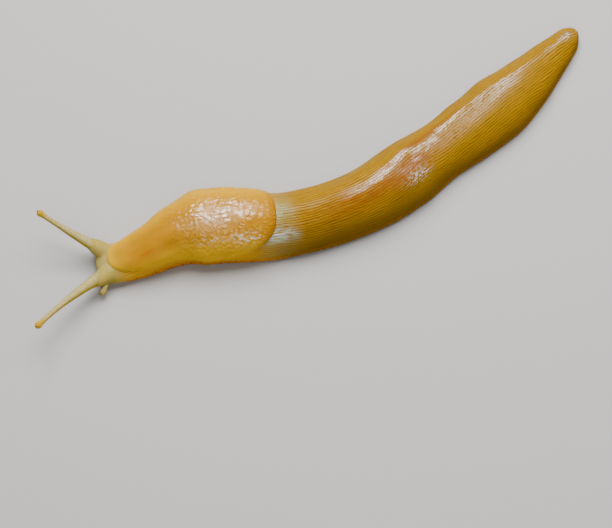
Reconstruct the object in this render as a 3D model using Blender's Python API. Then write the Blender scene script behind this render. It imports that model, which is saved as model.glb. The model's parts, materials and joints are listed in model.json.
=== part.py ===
"""A banana slug at life size, crawling on a level floor with its eye stalks out.

Metres, +Z up. The head points towards -X and the tail towards +X, so the slug's own left side faces -Y.
Two numbers place a point of skin: its distance from the snout along the crawl line, and its turn, the
angle from the left hem (0) over the back (a quarter turn) to the right hem (a half turn).
"""

import math

import bmesh
import bpy
import numpy as np
from mathutils import Vector

SIDES = ("left", "right")

# Sizes of the whole animal
BODY_LENGTH = 0.184
SEAM = 0.0003
FOOT_THICKNESS = 0.0024
# How far the foot's fringe stands out beyond the body: widest under the neck
FOOT_FLARE = ((0.000, 0.0002), (0.010, 0.0005), (0.018, 0.0009), (0.026, 0.0008), (0.036, 0.0002))
HEM_TUCK = 0.04
HEM_TUCK_HEIGHT = 0.0014
WALL_POWER = 0.84

# The crawl line: distance from the snout, and its heading there in degrees, anticlockwise from +X
CRAWL_HEADINGS = (
    (0.000, 13.0),
    (0.008, 16.0),
    (0.016, 26.0),
    (0.022, 30.0),
    (0.030, 20.0),
    (0.038, 6.5),
    (0.045, 2.0),
    (0.058, 6.5),
    (0.071, 16.0),
    (0.087, 28.0),
    (0.100, 37.0),
    (0.118, 38.0),
    (0.138, 42.0),
    (0.150, 43.5),
    (0.166, 50.0),
    (0.184, 49.0),
)

# The body above the foot: distance from the snout, half width, height, and how far the back is pinched
# into a keel (1 is a round back), how far the back leans to the slug's right
BODY_SIZES = (
    (0.000, 0.0056, 0.0066, 1.00, 0.0000),
    (0.005, 0.0066, 0.0074, 1.00, 0.0000),
    (0.012, 0.0065, 0.0086, 1.00, 0.0000),
    (0.019, 0.0067, 0.0108, 1.00, 0.0000),
    (0.027, 0.0082, 0.0132, 1.00, 0.0000),
    (0.036, 0.0108, 0.0148, 1.00, 0.0000),
    (0.046, 0.0107, 0.0150, 1.00, 0.0000),
    (0.056, 0.0105, 0.0148, 1.02, 0.0000),
    (0.068, 0.0096, 0.0150, 1.06, 0.0000),
    (0.080, 0.0096, 0.0152, 1.10, 0.0004),
    (0.096, 0.0103, 0.0152, 1.14, 0.0008),
    (0.104, 0.0104, 0.0149, 1.15, 0.0016),
    (0.119, 0.0091, 0.0132, 1.24, 0.0026),
    (0.130, 0.0099, 0.0131, 1.46, 0.0034),
    (0.143, 0.0105, 0.0130, 1.68, 0.0036),
    (0.155, 0.0088, 0.0112, 1.66, 0.0031),
    (0.165, 0.0069, 0.0092, 1.55, 0.0024),
    (0.176, 0.0049, 0.0070, 1.35, 0.0012),
    (0.184, 0.0032, 0.0054, 1.10, 0.0004),
)
SNOUT_ROUNDING = 0.0050
TAIL_ROUNDING = 0.0060

# Where the body and the foot are parted, as distances from the snout
BODY_CUTS = {
    "head": (0.000, 0.010),
    "neck": (0.010, 0.027),
    "trunk_front": (0.027, 0.060),
    "trunk_middle": (0.060, 0.097),
    "trunk_rear": (0.097, 0.134),
    "tail": (0.134, 0.184),
}
FOOT_CUTS = {
    "foot_front": (0.0042, 0.060),
    "foot_middle": (0.060, 0.097),
    "foot_rear": (0.097, 0.134),
    "foot_tail": (0.134, 0.184),
}
# How much narrower the foot is than the body, from the snout backwards
FOOT_NARROWING = ((0.0, 0.75), (0.010, 0.88), (0.030, 0.97), (0.060, 1.0))
FOOT_FRONT_SHARES = (0.02, 0.08, 0.20, 0.40, 0.70)
FOOT_EDGE_LEAST = 0.2
FOOT_FRONT_REACH = 0.0045
STATION_STEP = 0.0030
TURN_STEPS = 28
FOOT_EDGE_STEPS = 4
# Shares of a rounding's length at which it gets a ring of points
ROUNDING_SHARES = (0.01, 0.04, 0.10, 0.20, 0.36)

# The mantle, a thick flap over the neck and the front of the trunk
MANTLE_FRONT = 0.0038
MANTLE_REAR = 0.0585
MANTLE_SQUARENESS = 2.7
MANTLE_RIM_POWER = 9.0
MANTLE_THICKNESS = ((-1.0, 0.0013), (0.0, 0.0016), (1.0, 0.0017))
MANTLE_REACH = ((-1.0, 66.0), (-0.6, 73.0), (-0.1, 83.0), (0.3, 86.5), (1.0, 84.0))
MANTLE_SEAM = 0.00038
MANTLE_RIM_LIFT = 0.30
MANTLE_RINGS = 11
MANTLE_FIRST_RING = 0.12
MANTLE_SPOKES = 56

# The breathing pore in the right margin of the mantle, and the slime pit on the tail tip
PORE_PLACE = 0.0400
PORE_TURN = 146.0
PORE_RADIUS = 0.0015
PORE_RAISE = 0.0022
PIT_PLACE = 0.1805
PIT_RADIUS = 0.0012
PIT_RAISE = 0.0008

# Eye stalks: foot on the head as place, sideways and up, then how far the tip is ahead, to the side and up
STALK_ROOT = {"left": (0.0030, 0.0034, 0.0048), "right": (0.0036, -0.0039, 0.0050)}
STALK_TIP = {"left": (-0.0198, -0.0213, 0.0070), "right": (-0.0202, 0.0091, 0.0098)}
STALK_BOW = {"left": 0.0010, "right": -0.0004}
STALK_RADII = (
    (0.00, 0.0027),
    (0.08, 0.0023),
    (0.18, 0.0018),
    (0.36, 0.0014),
    (0.84, 0.0008),
    (0.91, 0.00085),
    (0.955, 0.0011),
)
STALK_BULB_RADIUS = 0.0011
STALK_BULB_MIDDLE = 0.958
STALK_END_START = 0.955
STALK_END_SHARES = (0.970, 0.983, 0.993, 0.9985)
STALK_STUB_START = -0.03
STALK_GAP_START = -0.10
STALK_SPLIT = 0.16
STALK_POINTS = 18
EYE_RADIUS = 0.00036
EYE_SEAM = 0.0001
EYE_SINK = 0.00018
EYE_UPWARDS = 0.35

# Feelers, the short lower tentacles
FEELER_ROOT = {"left": (0.0030, 0.0046, 0.0041), "right": (0.0030, -0.0046, 0.0041)}
FEELER_TIP = {"left": (-0.0019, -0.0054, -0.0012), "right": (-0.0036, 0.0040, -0.0010)}
FEELER_RADIUS = 0.00092
FEELER_TAPER = (1.25, 0.35)
FEELER_END_START = 0.80
FEELER_END_SHARES = (0.86, 0.92, 0.965, 0.992)
FEELER_STUB_START = -0.45
FEELER_SPLIT = 0.44
FEELER_POINTS = 8
STUB_POINTS = 6

# Lips and mouth, low on the front of the head
LIP_RADII = (0.0019, 0.0021, 0.0015)
LIP_PLACE = (0.0020, 0.0021, 0.0023)
MOUTH_WIDTH = 0.0030
MOUTH_HEIGHT = 0.0007
MOUTH_DEPTH = 0.0016
MOUTH_PLACE = (0.0004, 0.0, 0.0026)

# Base colour, roughness
COLOURS = {
    "skin": ((0.45, 0.230, 0.008), 0.32),
    "mantle": ((0.56, 0.285, 0.010), 0.26),
    "foot": ((0.42, 0.190, 0.010), 0.40),
    "feeler": ((0.50, 0.400, 0.120), 0.35),
    "eye": ((0.010, 0.008, 0.007), 0.15),
}


def smooth_through(table, column, at):
    """A smooth curve through one column of a table, without overshoot: cubic Hermite, limited slopes."""
    places = np.array([row[0] for row in table])
    values = np.array([row[column] for row in table])
    at = np.clip(np.asarray(at, float), places[0], places[-1])
    step = np.diff(places)
    rise = np.diff(values) / step
    slope = np.concatenate([rise[:1], np.zeros(len(rise) - 1), rise[-1:]])
    before, after = rise[:-1], rise[1:]
    same_way = before * after > 0
    both = np.where(same_way, before + after, 1.0)
    slope[1:-1] = np.where(same_way, 2 * before * after / both, 0.0)
    piece = np.clip(np.searchsorted(places, at, side="right") - 1, 0, len(step) - 1)
    t = (at - places[piece]) / step[piece]
    rest = 1 - t
    start = values[piece] * (1 + 2 * t) * rest**2 + slope[piece] * step[piece] * t * rest**2
    end = values[piece + 1] * (3 - 2 * t) * t**2 - slope[piece + 1] * step[piece] * rest * t**2
    return start + end


def crawl_line():
    """Fine steps along the crawl line: distances, points in plan, headings in radians."""
    places = np.linspace(0.0, BODY_LENGTH, 721)
    headings = np.radians(smooth_through(CRAWL_HEADINGS, 1, places))
    step = places[1] - places[0]
    middle = (headings[1:] + headings[:-1]) / 2
    x = np.concatenate([[0.0], np.cumsum(np.cos(middle) * step)])
    y = np.concatenate([[0.0], np.cumsum(np.sin(middle) * step)])
    return places, x, y, headings


LINE_PLACES, LINE_X, LINE_Y, LINE_HEADINGS = crawl_line()


def in_space(place, leftwards, up):
    """World points from distances along the crawl line, distances to the slug's left and heights."""
    place, leftwards, up = np.broadcast_arrays(*(np.asarray(a, float) for a in (place, leftwards, up)))
    heading = np.interp(place, LINE_PLACES, LINE_HEADINGS)
    over = np.minimum(place, 0.0) + np.maximum(place - BODY_LENGTH, 0.0)
    x = np.interp(place, LINE_PLACES, LINE_X) + over * np.cos(heading) + leftwards * np.sin(heading)
    y = np.interp(place, LINE_PLACES, LINE_Y) + over * np.sin(heading) - leftwards * np.cos(heading)
    return np.stack([x, y, up], axis=-1)


def end_rounding(place):
    """1 along the body, falling to 0 as a quarter circle at the snout and at the tail tip."""
    snout = np.clip(1 - place / SNOUT_ROUNDING, 0, 1)
    tail = np.clip(1 - (BODY_LENGTH - place) / TAIL_ROUNDING, 0, 1)
    return np.sqrt(np.maximum(1 - snout**2, 0)) * np.sqrt(np.maximum(1 - tail**2, 0))


def skin_point(place, turn):
    """A point of the body's skin above the foot, from its place and its turn in radians."""
    place, turn = np.broadcast_arrays(np.asarray(place, float), np.asarray(turn, float))
    rounding = end_rounding(place)
    half = smooth_through(BODY_SIZES, 1, place) * rounding
    keel = smooth_through(BODY_SIZES, 3, place)
    base = FOOT_THICKNESS + SEAM
    rise = (smooth_through(BODY_SIZES, 2, place) - base) * rounding
    cosine, sine = np.cos(turn), np.clip(np.sin(turn), 0, 1)
    up = base + rise * sine**WALL_POWER
    tuck = 1 - HEM_TUCK * np.exp(-(((up - base) / HEM_TUCK_HEIGHT) ** 2))
    lean = smooth_through(BODY_SIZES, 4, place) * rounding * sine**2
    return in_space(place, half * np.sign(cosine) * np.abs(cosine) ** keel * tuck - lean, up)


def skin_normal(place, turn):
    """The outward direction of the skin there, from two short steps across it."""
    step, angle = 1e-5, 1e-3
    along = skin_point(place + step, turn) - skin_point(place - step, turn)
    over = skin_point(place, turn + angle) - skin_point(place, turn - angle)
    normal = np.cross(along, over)
    return normal / np.linalg.norm(normal, axis=-1, keepdims=True)


def object_of(name, mesh):
    piece = bpy.data.objects.new(name, mesh)
    bpy.context.scene.collection.objects.link(piece)
    return piece


def loft(name, rings, first_point=None, last_point=None):
    """A closed mesh over rings of points. An end closes on a point if one is given, else with a flat face."""
    build = bmesh.new()
    rows = [[build.verts.new(point) for point in ring] for ring in rings]
    count = len(rows[0])
    for row, following in zip(rows, rows[1:]):
        for i in range(count):
            j = (i + 1) % count
            build.faces.new((row[i], row[j], following[j], following[i]))
    for row, point in ((rows[0], first_point), (rows[-1], last_point)):
        if point is None:
            build.faces.new(row)
            continue
        tip = build.verts.new(point)
        for i in range(count):
            build.faces.new((row[i], row[(i + 1) % count], tip))
    bmesh.ops.recalc_face_normals(build, faces=build.faces)
    mesh = bpy.data.meshes.new(name)
    build.to_mesh(mesh)
    build.free()
    return object_of(name, mesh)


def ball(name, middle, radii, heading=0.0):
    """A sphere or an egg, with its radii ahead, sideways and up, turned to a heading."""
    build = bmesh.new()
    bmesh.ops.create_uvsphere(build, u_segments=12, v_segments=8, radius=1.0)
    bmesh.ops.scale(build, vec=radii, verts=build.verts)
    mesh = bpy.data.meshes.new(name)
    build.to_mesh(mesh)
    build.free()
    piece = object_of(name, mesh)
    piece.location = middle
    piece.rotation_euler.z = heading
    return piece


def tapered_tube(name, path, radii):
    """A closed round tube through the points, with a radius for each."""
    curve = bpy.data.curves.new(name, "CURVE")
    curve.dimensions = "3D"
    curve.bevel_depth = 1.0
    curve.bevel_resolution = 4
    curve.use_fill_caps = True
    spline = curve.splines.new("POLY")
    spline.points.add(len(path) - 1)
    for point, place, radius in zip(spline.points, path, radii):
        point.co = (*place, 1.0)
        point.radius = radius
    guide = object_of(name + "_guide", curve)
    bpy.context.view_layer.update()
    mesh = bpy.data.meshes.new_from_object(guide.evaluated_get(bpy.context.evaluated_depsgraph_get()))
    placing = guide.matrix_world.copy()
    bpy.data.objects.remove(guide)
    build = bmesh.new()
    build.from_mesh(mesh)
    bmesh.ops.remove_doubles(build, verts=build.verts, dist=1e-7)
    bmesh.ops.recalc_face_normals(build, faces=build.faces)
    build.to_mesh(mesh)
    build.free()
    piece = object_of(name, mesh)
    piece.matrix_world = placing
    return piece


def join(piece, additions):
    """Joins closed pieces to another by one Boolean union, applied, and removes them."""
    group = bpy.data.collections.new("additions")
    for addition in additions:
        group.objects.link(addition)
    union = piece.modifiers.new("Join", "BOOLEAN")
    union.operation = "UNION"
    union.operand_type = "COLLECTION"
    union.collection = group
    bpy.context.view_layer.update()
    piece.data = bpy.data.meshes.new_from_object(piece.evaluated_get(bpy.context.evaluated_depsgraph_get()))
    piece.modifiers.remove(union)
    for addition in additions:
        bpy.data.objects.remove(addition)
    bpy.data.collections.remove(group)


def cut(piece, cutter):
    """Takes a closed piece's space out of another. The cutter stays, as wires that no picture shows."""
    cutter.display_type = "WIRE"
    cutter.hide_render = True
    modifier = piece.modifiers.new("Cut by " + cutter.name, "BOOLEAN")
    modifier.operation = "DIFFERENCE"
    modifier.object = cutter


def keep_largest(piece):
    """Drops every closed surface but the largest one of a piece."""
    build = bmesh.new()
    build.from_mesh(piece.data)
    left, shells = set(build.verts), []
    while left:
        shell, edge = set(), [left.pop()]
        while edge:
            vertex = edge.pop()
            shell.add(vertex)
            for link in vertex.link_edges:
                other = link.other_vert(vertex)
                if other in left:
                    left.discard(other)
                    edge.append(other)
        shells.append(shell)
    shells.sort(key=len)
    for shell in shells[:-1]:
        bmesh.ops.delete(build, geom=list(shell), context="VERTS")
    build.to_mesh(piece.data)
    build.free()


def stations(start, end, step):
    """Places from start to end about a step apart, closer together in a rounded snout or tail tip."""
    places = np.linspace(start, end, max(2, round((end - start) / step) + 1))
    shares = np.array(ROUNDING_SHARES)
    if start == 0.0:
        rounded = SNOUT_ROUNDING * shares
        places = np.concatenate([rounded, places[places > SNOUT_ROUNDING / 2]])
    if end == BODY_LENGTH:
        rounded = end - TAIL_ROUNDING * shares[::-1]
        places = np.concatenate([places[places < end - TAIL_ROUNDING / 2], rounded])
    return places


def body_length(name, start, end):
    """One length of the body, from the left hem over the back to the right hem, flat below."""
    start += SEAM / 2 if start > 0 else 0
    end -= SEAM / 2 if end < BODY_LENGTH else 0
    turns = np.linspace(0, math.pi, TURN_STEPS + 1)
    return loft(name, [skin_point(place, turns) for place in stations(start, end, STATION_STEP)])


def foot_half_width(place):
    """Half the foot's width: the body's, a little narrower under the head, plus a flared edge."""
    half = smooth_through(BODY_SIZES, 1, place)
    narrowing = smooth_through(FOOT_NARROWING, 1, place)
    return (half * narrowing + smooth_through(FOOT_FLARE, 1, place)) * end_rounding(place)


def foot_front_rounding(place):
    """The foot's front edge is half an oval in plan, just behind the mouth."""
    short = np.clip(1 - (place - FOOT_CUTS["foot_front"][0]) / FOOT_FRONT_REACH, 0, 1)
    return np.sqrt(np.maximum(1 - short**2, 0.0))


def foot_length(name, start, end):
    """One length of the foot: a flat sole with a round edge."""
    if name == "foot_front":
        rounded_end = start + FOOT_FRONT_REACH
        near = start + FOOT_FRONT_REACH * np.array(FOOT_FRONT_SHARES)
        places = stations(start, end - SEAM / 2, STATION_STEP)
        places = np.concatenate([near, places[places > rounded_end]])
    else:
        places = stations(start + SEAM / 2, end if end == BODY_LENGTH else end - SEAM / 2, STATION_STEP)
    swell = np.linspace(-math.pi / 2, math.pi / 2, 2 * FOOT_EDGE_STEPS + 1)
    radius = FOOT_THICKNESS / 2
    up = radius + radius * np.sin(swell)
    rings = []
    for place in places:
        half = foot_half_width(place) * foot_front_rounding(place)
        inner = max(half - radius, half * FOOT_EDGE_LEAST)
        left = inner + (half - inner) * np.cos(swell)
        rings.append(in_space(place, np.concatenate([left, -left[::-1]]), np.concatenate([up, up[::-1]])))
    return loft(name, rings)


def mantle_point(radius, around, lift):
    """A point over the flap: radius 0 in its middle and 1 at its rim, around its rim, lifted off the body."""
    power = 2 / MANTLE_SQUARENESS
    along = radius * np.sign(np.cos(around)) * np.abs(np.cos(around)) ** power
    over = radius * np.sign(np.sin(around)) * np.abs(np.sin(around)) ** power
    middle, half = (MANTLE_FRONT + MANTLE_REAR) / 2, (MANTLE_REAR - MANTLE_FRONT) / 2
    place = middle + half * along
    turn = math.pi / 2 + np.radians(smooth_through(MANTLE_REACH, 1, along)) * over
    thickness = smooth_through(MANTLE_THICKNESS, 1, along)
    return skin_point(place, turn) + skin_normal(place, turn) * (MANTLE_SEAM + lift * thickness)[..., None]


def mantle():
    """The flap as a pillow draped on the body, with the breathing pore and room for the stalks' roots."""
    around = np.linspace(0, 2 * math.pi, MANTLE_SPOKES, endpoint=False)
    radii = np.sin(np.linspace(MANTLE_FIRST_RING, 1, MANTLE_RINGS) * math.pi / 2)
    every_spoke = np.ones_like(around)
    rings = []
    for radius in radii[:-1]:
        lift = math.sqrt(1 - radius**MANTLE_RIM_POWER)
        rings.append(mantle_point(radius * every_spoke, around, lift * every_spoke))
    rings.append(mantle_point(every_spoke, around, MANTLE_RIM_LIFT * every_spoke))
    for radius in radii[-2::-1]:
        rings.append(mantle_point(radius * every_spoke, around, 0 * every_spoke))
    middle = np.zeros(1)
    crown = mantle_point(middle, middle, middle + 1)[0]
    underside = mantle_point(middle, middle, middle)[0]
    flap = loft("mantle", rings, crown, underside)
    turn = math.radians(PORE_TURN)
    pore = skin_point(PORE_PLACE, turn) + skin_normal(PORE_PLACE, turn) * PORE_RAISE
    cut(flap, ball("pore_cutter", pore, (PORE_RADIUS,) * 3))
    for side in SIDES:
        shares = np.linspace(STALK_GAP_START, STALK_SPLIT, STUB_POINTS)
        gap = tapered_tube(f"root_gap_cutter_{side}", stalk_path(side, shares), stalk_radius(shares) + SEAM)
        cut(flap, gap)
    return flap


def tail():
    """The last length of the body, with the shallow slime pit at the end of its keel."""
    piece = body_length("tail", *BODY_CUTS["tail"])
    over = math.pi / 2
    pit = skin_point(PIT_PLACE, over) + skin_normal(PIT_PLACE, over) * PIT_RAISE
    cut(piece, ball("pit_cutter", pit, (PIT_RADIUS,) * 3))
    return piece


def bowed_path(root, tip, bow, shares):
    """Points on a line from root to tip that bows sideways in plan by a parabola."""
    root, tip = np.asarray(root), np.asarray(tip)
    ahead = (tip - root) / np.linalg.norm(tip - root)
    sideways = np.cross(ahead, (0, 0, 1))
    shares = np.asarray(shares)[:, None]
    return root + (tip - root) * shares + sideways * bow * 4 * shares * (1 - shares)


def stalk_path(side, shares):
    root = in_space(*STALK_ROOT[side])
    return bowed_path(root, root + np.array(STALK_TIP[side]), STALK_BOW[side], shares)


def stalk_radius(shares):
    """The stalk tapers from a broad root, and swells to a ball at its end."""
    end = np.clip((shares - STALK_END_START) / (1 - STALK_END_START), 0, 1)
    return smooth_through(STALK_RADII, 1, shares) * np.sqrt(1 - end**2)


def eye_place(side):
    """The eye's middle, sunk in the end of the ball and turned a little upwards."""
    before, tip = stalk_path(side, [STALK_END_SHARES[1], 1.0])
    look = (tip - before) / np.linalg.norm(tip - before) + np.array([0.0, 0.0, EYE_UPWARDS])
    look /= np.linalg.norm(look)
    return stalk_path(side, [STALK_BULB_MIDDLE])[0] + look * (STALK_BULB_RADIUS - EYE_SINK)


def eye_stalk(side):
    """The part of an eye stalk beyond its stub on the head, with a socket for the eye in its ball."""
    length = float(np.linalg.norm(STALK_TIP[side]))
    shaft = np.linspace(STALK_SPLIT + SEAM / length, STALK_END_START, STALK_POINTS)
    shares = np.concatenate([shaft, STALK_END_SHARES])
    piece = tapered_tube(f"eye_stalk_{side}", stalk_path(side, shares), stalk_radius(shares))
    cut(piece, ball(f"socket_cutter_{side}", eye_place(side), (EYE_RADIUS + EYE_SEAM,) * 3))
    return piece


def feeler_path(side, shares):
    root = in_space(*FEELER_ROOT[side])
    return bowed_path(root, root + np.array(FEELER_TIP[side]), 0.0, shares)


def feeler_radius(shares):
    """The feeler tapers a little and has a round end."""
    full, taper = FEELER_TAPER
    end = np.clip((shares - FEELER_END_START) / (1 - FEELER_END_START), 0, 1)
    return FEELER_RADIUS * (full - taper * np.minimum(shares, FEELER_END_START)) * np.sqrt(1 - end**2)


def feeler(side):
    """The part of a feeler beyond its stub on the head."""
    length = float(np.linalg.norm(FEELER_TIP[side]))
    shares = np.linspace(FEELER_SPLIT + SEAM / length, FEELER_END_START, FEELER_POINTS)
    shares = np.concatenate([shares, FEELER_END_SHARES])
    return tapered_tube(f"feeler_{side}", feeler_path(side, shares), feeler_radius(shares))


def head():
    """The head with the stubs that the stalks and feelers grow from, its lips and its mouth."""
    piece = body_length("head", *BODY_CUTS["head"])
    heading = math.radians(CRAWL_HEADINGS[0][1])
    additions = []
    for side, sign in (("left", 1), ("right", -1)):
        shares = np.linspace(STALK_STUB_START, STALK_SPLIT, STUB_POINTS)
        additions.append(tapered_tube(f"stalk_stub_{side}", stalk_path(side, shares), stalk_radius(shares)))
        shares = np.linspace(FEELER_STUB_START, FEELER_SPLIT, STUB_POINTS)
        additions.append(tapered_tube(f"feeler_stub_{side}", feeler_path(side, shares), feeler_radius(shares)))
        place, leftwards, up = LIP_PLACE
        additions.append(ball(f"lip_{side}", in_space(place, sign * leftwards, up), LIP_RADII, heading))
    join(piece, additions)
    keep_largest(piece)
    mouth_radii = (MOUTH_DEPTH, MOUTH_WIDTH / 2, MOUTH_HEIGHT / 2)
    cut(piece, ball("mouth_cutter", in_space(*MOUTH_PLACE), mouth_radii, heading))
    return piece


def finish(name):
    colour, roughness = COLOURS[name]
    made = bpy.data.materials.new(name)
    made.use_nodes = True
    shader = made.node_tree.nodes["Principled BSDF"]
    shader.inputs["Base Color"].default_value = (*colour, 1.0)
    shader.inputs["Roughness"].default_value = roughness
    return made


def gather(name, pieces):
    """Moves pieces from the scene's own collection into a new one."""
    group = bpy.data.collections.new(name)
    bpy.context.scene.collection.children.link(group)
    for piece in pieces:
        bpy.context.scene.collection.objects.unlink(piece)
        group.objects.link(piece)


def stand_on_floor_centre(pieces, cutters):
    """Moves everything so that the origin is under the middle of the pieces' box, on the floor."""
    corners = np.array([piece.matrix_world @ Vector(corner) for piece in pieces for corner in piece.bound_box])
    low, high = corners.min(axis=0), corners.max(axis=0)
    root = object_of("slug", None)
    root.location = (-(low[0] + high[0]) / 2, -(low[1] + high[1]) / 2, -low[2])
    for piece in pieces + cutters:
        piece.parent = root


def main():
    for old in list(bpy.data.objects):
        bpy.data.objects.remove(old)
    pieces = {head(): "feeler", mantle(): "mantle", tail(): "skin"}
    for name in ("neck", "trunk_front", "trunk_middle", "trunk_rear"):
        pieces[body_length(name, *BODY_CUTS[name])] = "skin"
    for name, (start, end) in FOOT_CUTS.items():
        pieces[foot_length(name, start, end)] = "foot"
    for side in SIDES:
        pieces[eye_stalk(side)] = "feeler"
        pieces[feeler(side)] = "feeler"
        pieces[ball(f"eye_{side}", eye_place(side), (EYE_RADIUS,) * 3)] = "eye"
    finishes = {name: finish(name) for name in COLOURS}
    for piece, name in pieces.items():
        piece.data.materials.clear()
        piece.data.materials.append(finishes[name])
        piece.data.shade_smooth()
    cutters = [made for made in bpy.data.objects if made.display_type == "WIRE"]
    gather("banana_slug", pieces)
    gather("cutters", cutters)
    bpy.context.view_layer.update()
    stand_on_floor_centre(list(pieces), cutters)


main()
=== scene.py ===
# %% [markdown]
# A banana slug at life size, as a still model. The packed solids are the frame: their sizes and places
# hold, and this script gives them the living surface that the photograph shows. Lengths are in metres
# unless a name or a comment says otherwise. The head points to -X and the tail to +X, and the slug's own
# left side faces -Y, towards the camera.

# %% Frame
import json
import math

import bpy
import numpy as np
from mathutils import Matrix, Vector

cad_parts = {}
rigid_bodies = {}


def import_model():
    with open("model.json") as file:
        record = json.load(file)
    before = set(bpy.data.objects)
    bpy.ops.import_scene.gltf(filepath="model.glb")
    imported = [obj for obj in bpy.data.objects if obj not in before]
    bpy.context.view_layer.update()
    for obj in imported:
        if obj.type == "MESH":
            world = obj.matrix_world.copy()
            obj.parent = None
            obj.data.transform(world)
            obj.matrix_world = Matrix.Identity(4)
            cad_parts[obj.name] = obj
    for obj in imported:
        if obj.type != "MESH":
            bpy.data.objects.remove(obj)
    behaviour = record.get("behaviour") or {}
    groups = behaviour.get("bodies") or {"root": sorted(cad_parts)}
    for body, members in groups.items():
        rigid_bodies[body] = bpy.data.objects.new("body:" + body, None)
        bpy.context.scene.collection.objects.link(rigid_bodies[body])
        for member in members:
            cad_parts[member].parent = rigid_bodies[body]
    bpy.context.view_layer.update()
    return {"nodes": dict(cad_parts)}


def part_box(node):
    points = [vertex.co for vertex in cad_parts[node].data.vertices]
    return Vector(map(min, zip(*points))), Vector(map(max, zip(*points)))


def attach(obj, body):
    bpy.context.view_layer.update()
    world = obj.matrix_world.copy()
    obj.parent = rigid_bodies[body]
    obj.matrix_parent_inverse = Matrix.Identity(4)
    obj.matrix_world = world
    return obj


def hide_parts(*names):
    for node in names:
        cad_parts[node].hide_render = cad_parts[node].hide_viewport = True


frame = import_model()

print("solids:", sorted(frame["nodes"]))

# %% [markdown]
# The camera looks down from the slug's left side, 65 degrees above the floor, as in the photograph. It
# could stand close with a wide lens, or far off with a long one. In the photograph the tail, which is
# further off, hardly shrinks, so a lens of about 103 mm from 0.55 m was chosen.

# %% Camera
CAMERA_DISTANCE = 0.55
CAMERA_ELEVATION = math.radians(65.0)
CAMERA_TARGET = (-0.00377, -0.02909, 0.0)
FIELD_WIDTH = 0.1917
SENSOR_WIDTH = 36.0

camera_data = bpy.data.cameras.new("camera")
camera_data.sensor_width = SENSOR_WIDTH
camera_data.lens = SENSOR_WIDTH * CAMERA_DISTANCE / FIELD_WIDTH
camera_data.clip_start = 0.01
camera = bpy.data.objects.new("camera", camera_data)
bpy.context.scene.collection.objects.link(camera)
camera.location = (
    CAMERA_TARGET[0],
    CAMERA_TARGET[1] - CAMERA_DISTANCE * math.cos(CAMERA_ELEVATION),
    CAMERA_DISTANCE * math.sin(CAMERA_ELEVATION),
)
camera.rotation_euler = (math.pi / 2 - CAMERA_ELEVATION, 0.0, 0.0)
bpy.context.scene.camera = camera
print("lens in mm:", round(camera_data.lens, 1))

# %% [markdown]
# The skin has to lie where the solids lie. It could be wrapped onto their meshes, but those are parted by
# seams. So the skin is worked out anew from the sizes that the solids were made from: headings along the
# line that the slug crawls on, and half width, height, keel and lean at a few places along it.

# %% Sizes shared with the solids
BODY_LENGTH = 0.184
SEAM = 0.0003
FOOT_THICKNESS = 0.0024
SNOUT_ROUNDING = 0.0050
TAIL_ROUNDING = 0.0060
# Place, and how far the foot's fringe stands out beyond the body: widest under the neck
FOOT_FLARE = ((0.000, 0.0002), (0.010, 0.0005), (0.018, 0.0009), (0.026, 0.0008), (0.036, 0.0002))
# Place, and the foot's width as a share of the body's: narrow under the head
FOOT_NARROWING = ((0.000, 0.75), (0.010, 0.88), (0.030, 0.97), (0.060, 1.00))
# Place, and heading in degrees from +X
CRAWL_HEADINGS = (
    (0.000, 13.0),
    (0.008, 16.0),
    (0.016, 26.0),
    (0.022, 30.0),
    (0.030, 20.0),
    (0.038, 6.5),
    (0.045, 2.0),
    (0.058, 6.5),
    (0.071, 16.0),
    (0.087, 28.0),
    (0.100, 37.0),
    (0.118, 38.0),
    (0.138, 42.0),
    (0.150, 43.5),
    (0.166, 50.0),
    (0.184, 49.0),
)
# Place, half width, height, keel (1 is a plain oval, more is sharper) and lean of the back to the right
BODY_SIZES = (
    (0.000, 0.0056, 0.0066, 1.00, 0.0000),
    (0.005, 0.0066, 0.0074, 1.00, 0.0000),
    (0.012, 0.0065, 0.0086, 1.00, 0.0000),
    (0.019, 0.0067, 0.0108, 1.00, 0.0000),
    (0.027, 0.0082, 0.0132, 1.00, 0.0000),
    (0.036, 0.0108, 0.0148, 1.00, 0.0000),
    (0.046, 0.0107, 0.0150, 1.00, 0.0000),
    (0.056, 0.0105, 0.0148, 1.02, 0.0000),
    (0.068, 0.0096, 0.0150, 1.06, 0.0000),
    (0.080, 0.0096, 0.0152, 1.10, 0.0004),
    (0.096, 0.0103, 0.0152, 1.14, 0.0008),
    (0.104, 0.0104, 0.0149, 1.15, 0.0016),
    (0.119, 0.0091, 0.0132, 1.24, 0.0026),
    (0.130, 0.0099, 0.0131, 1.46, 0.0034),
    (0.143, 0.0105, 0.0130, 1.68, 0.0036),
    (0.155, 0.0088, 0.0112, 1.66, 0.0031),
    (0.165, 0.0069, 0.0092, 1.55, 0.0024),
    (0.176, 0.0049, 0.0070, 1.35, 0.0012),
    (0.184, 0.0032, 0.0054, 1.10, 0.0004),
)
print("widest place of the body:", max(BODY_SIZES, key=lambda row: row[1])[:2])

# %% [markdown]
# Between the rows of a table the body has to swell and thin smoothly. Straight lines would leave edges,
# and a plain spline can bulge past its points. Cubic pieces with limited slopes do neither.

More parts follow.
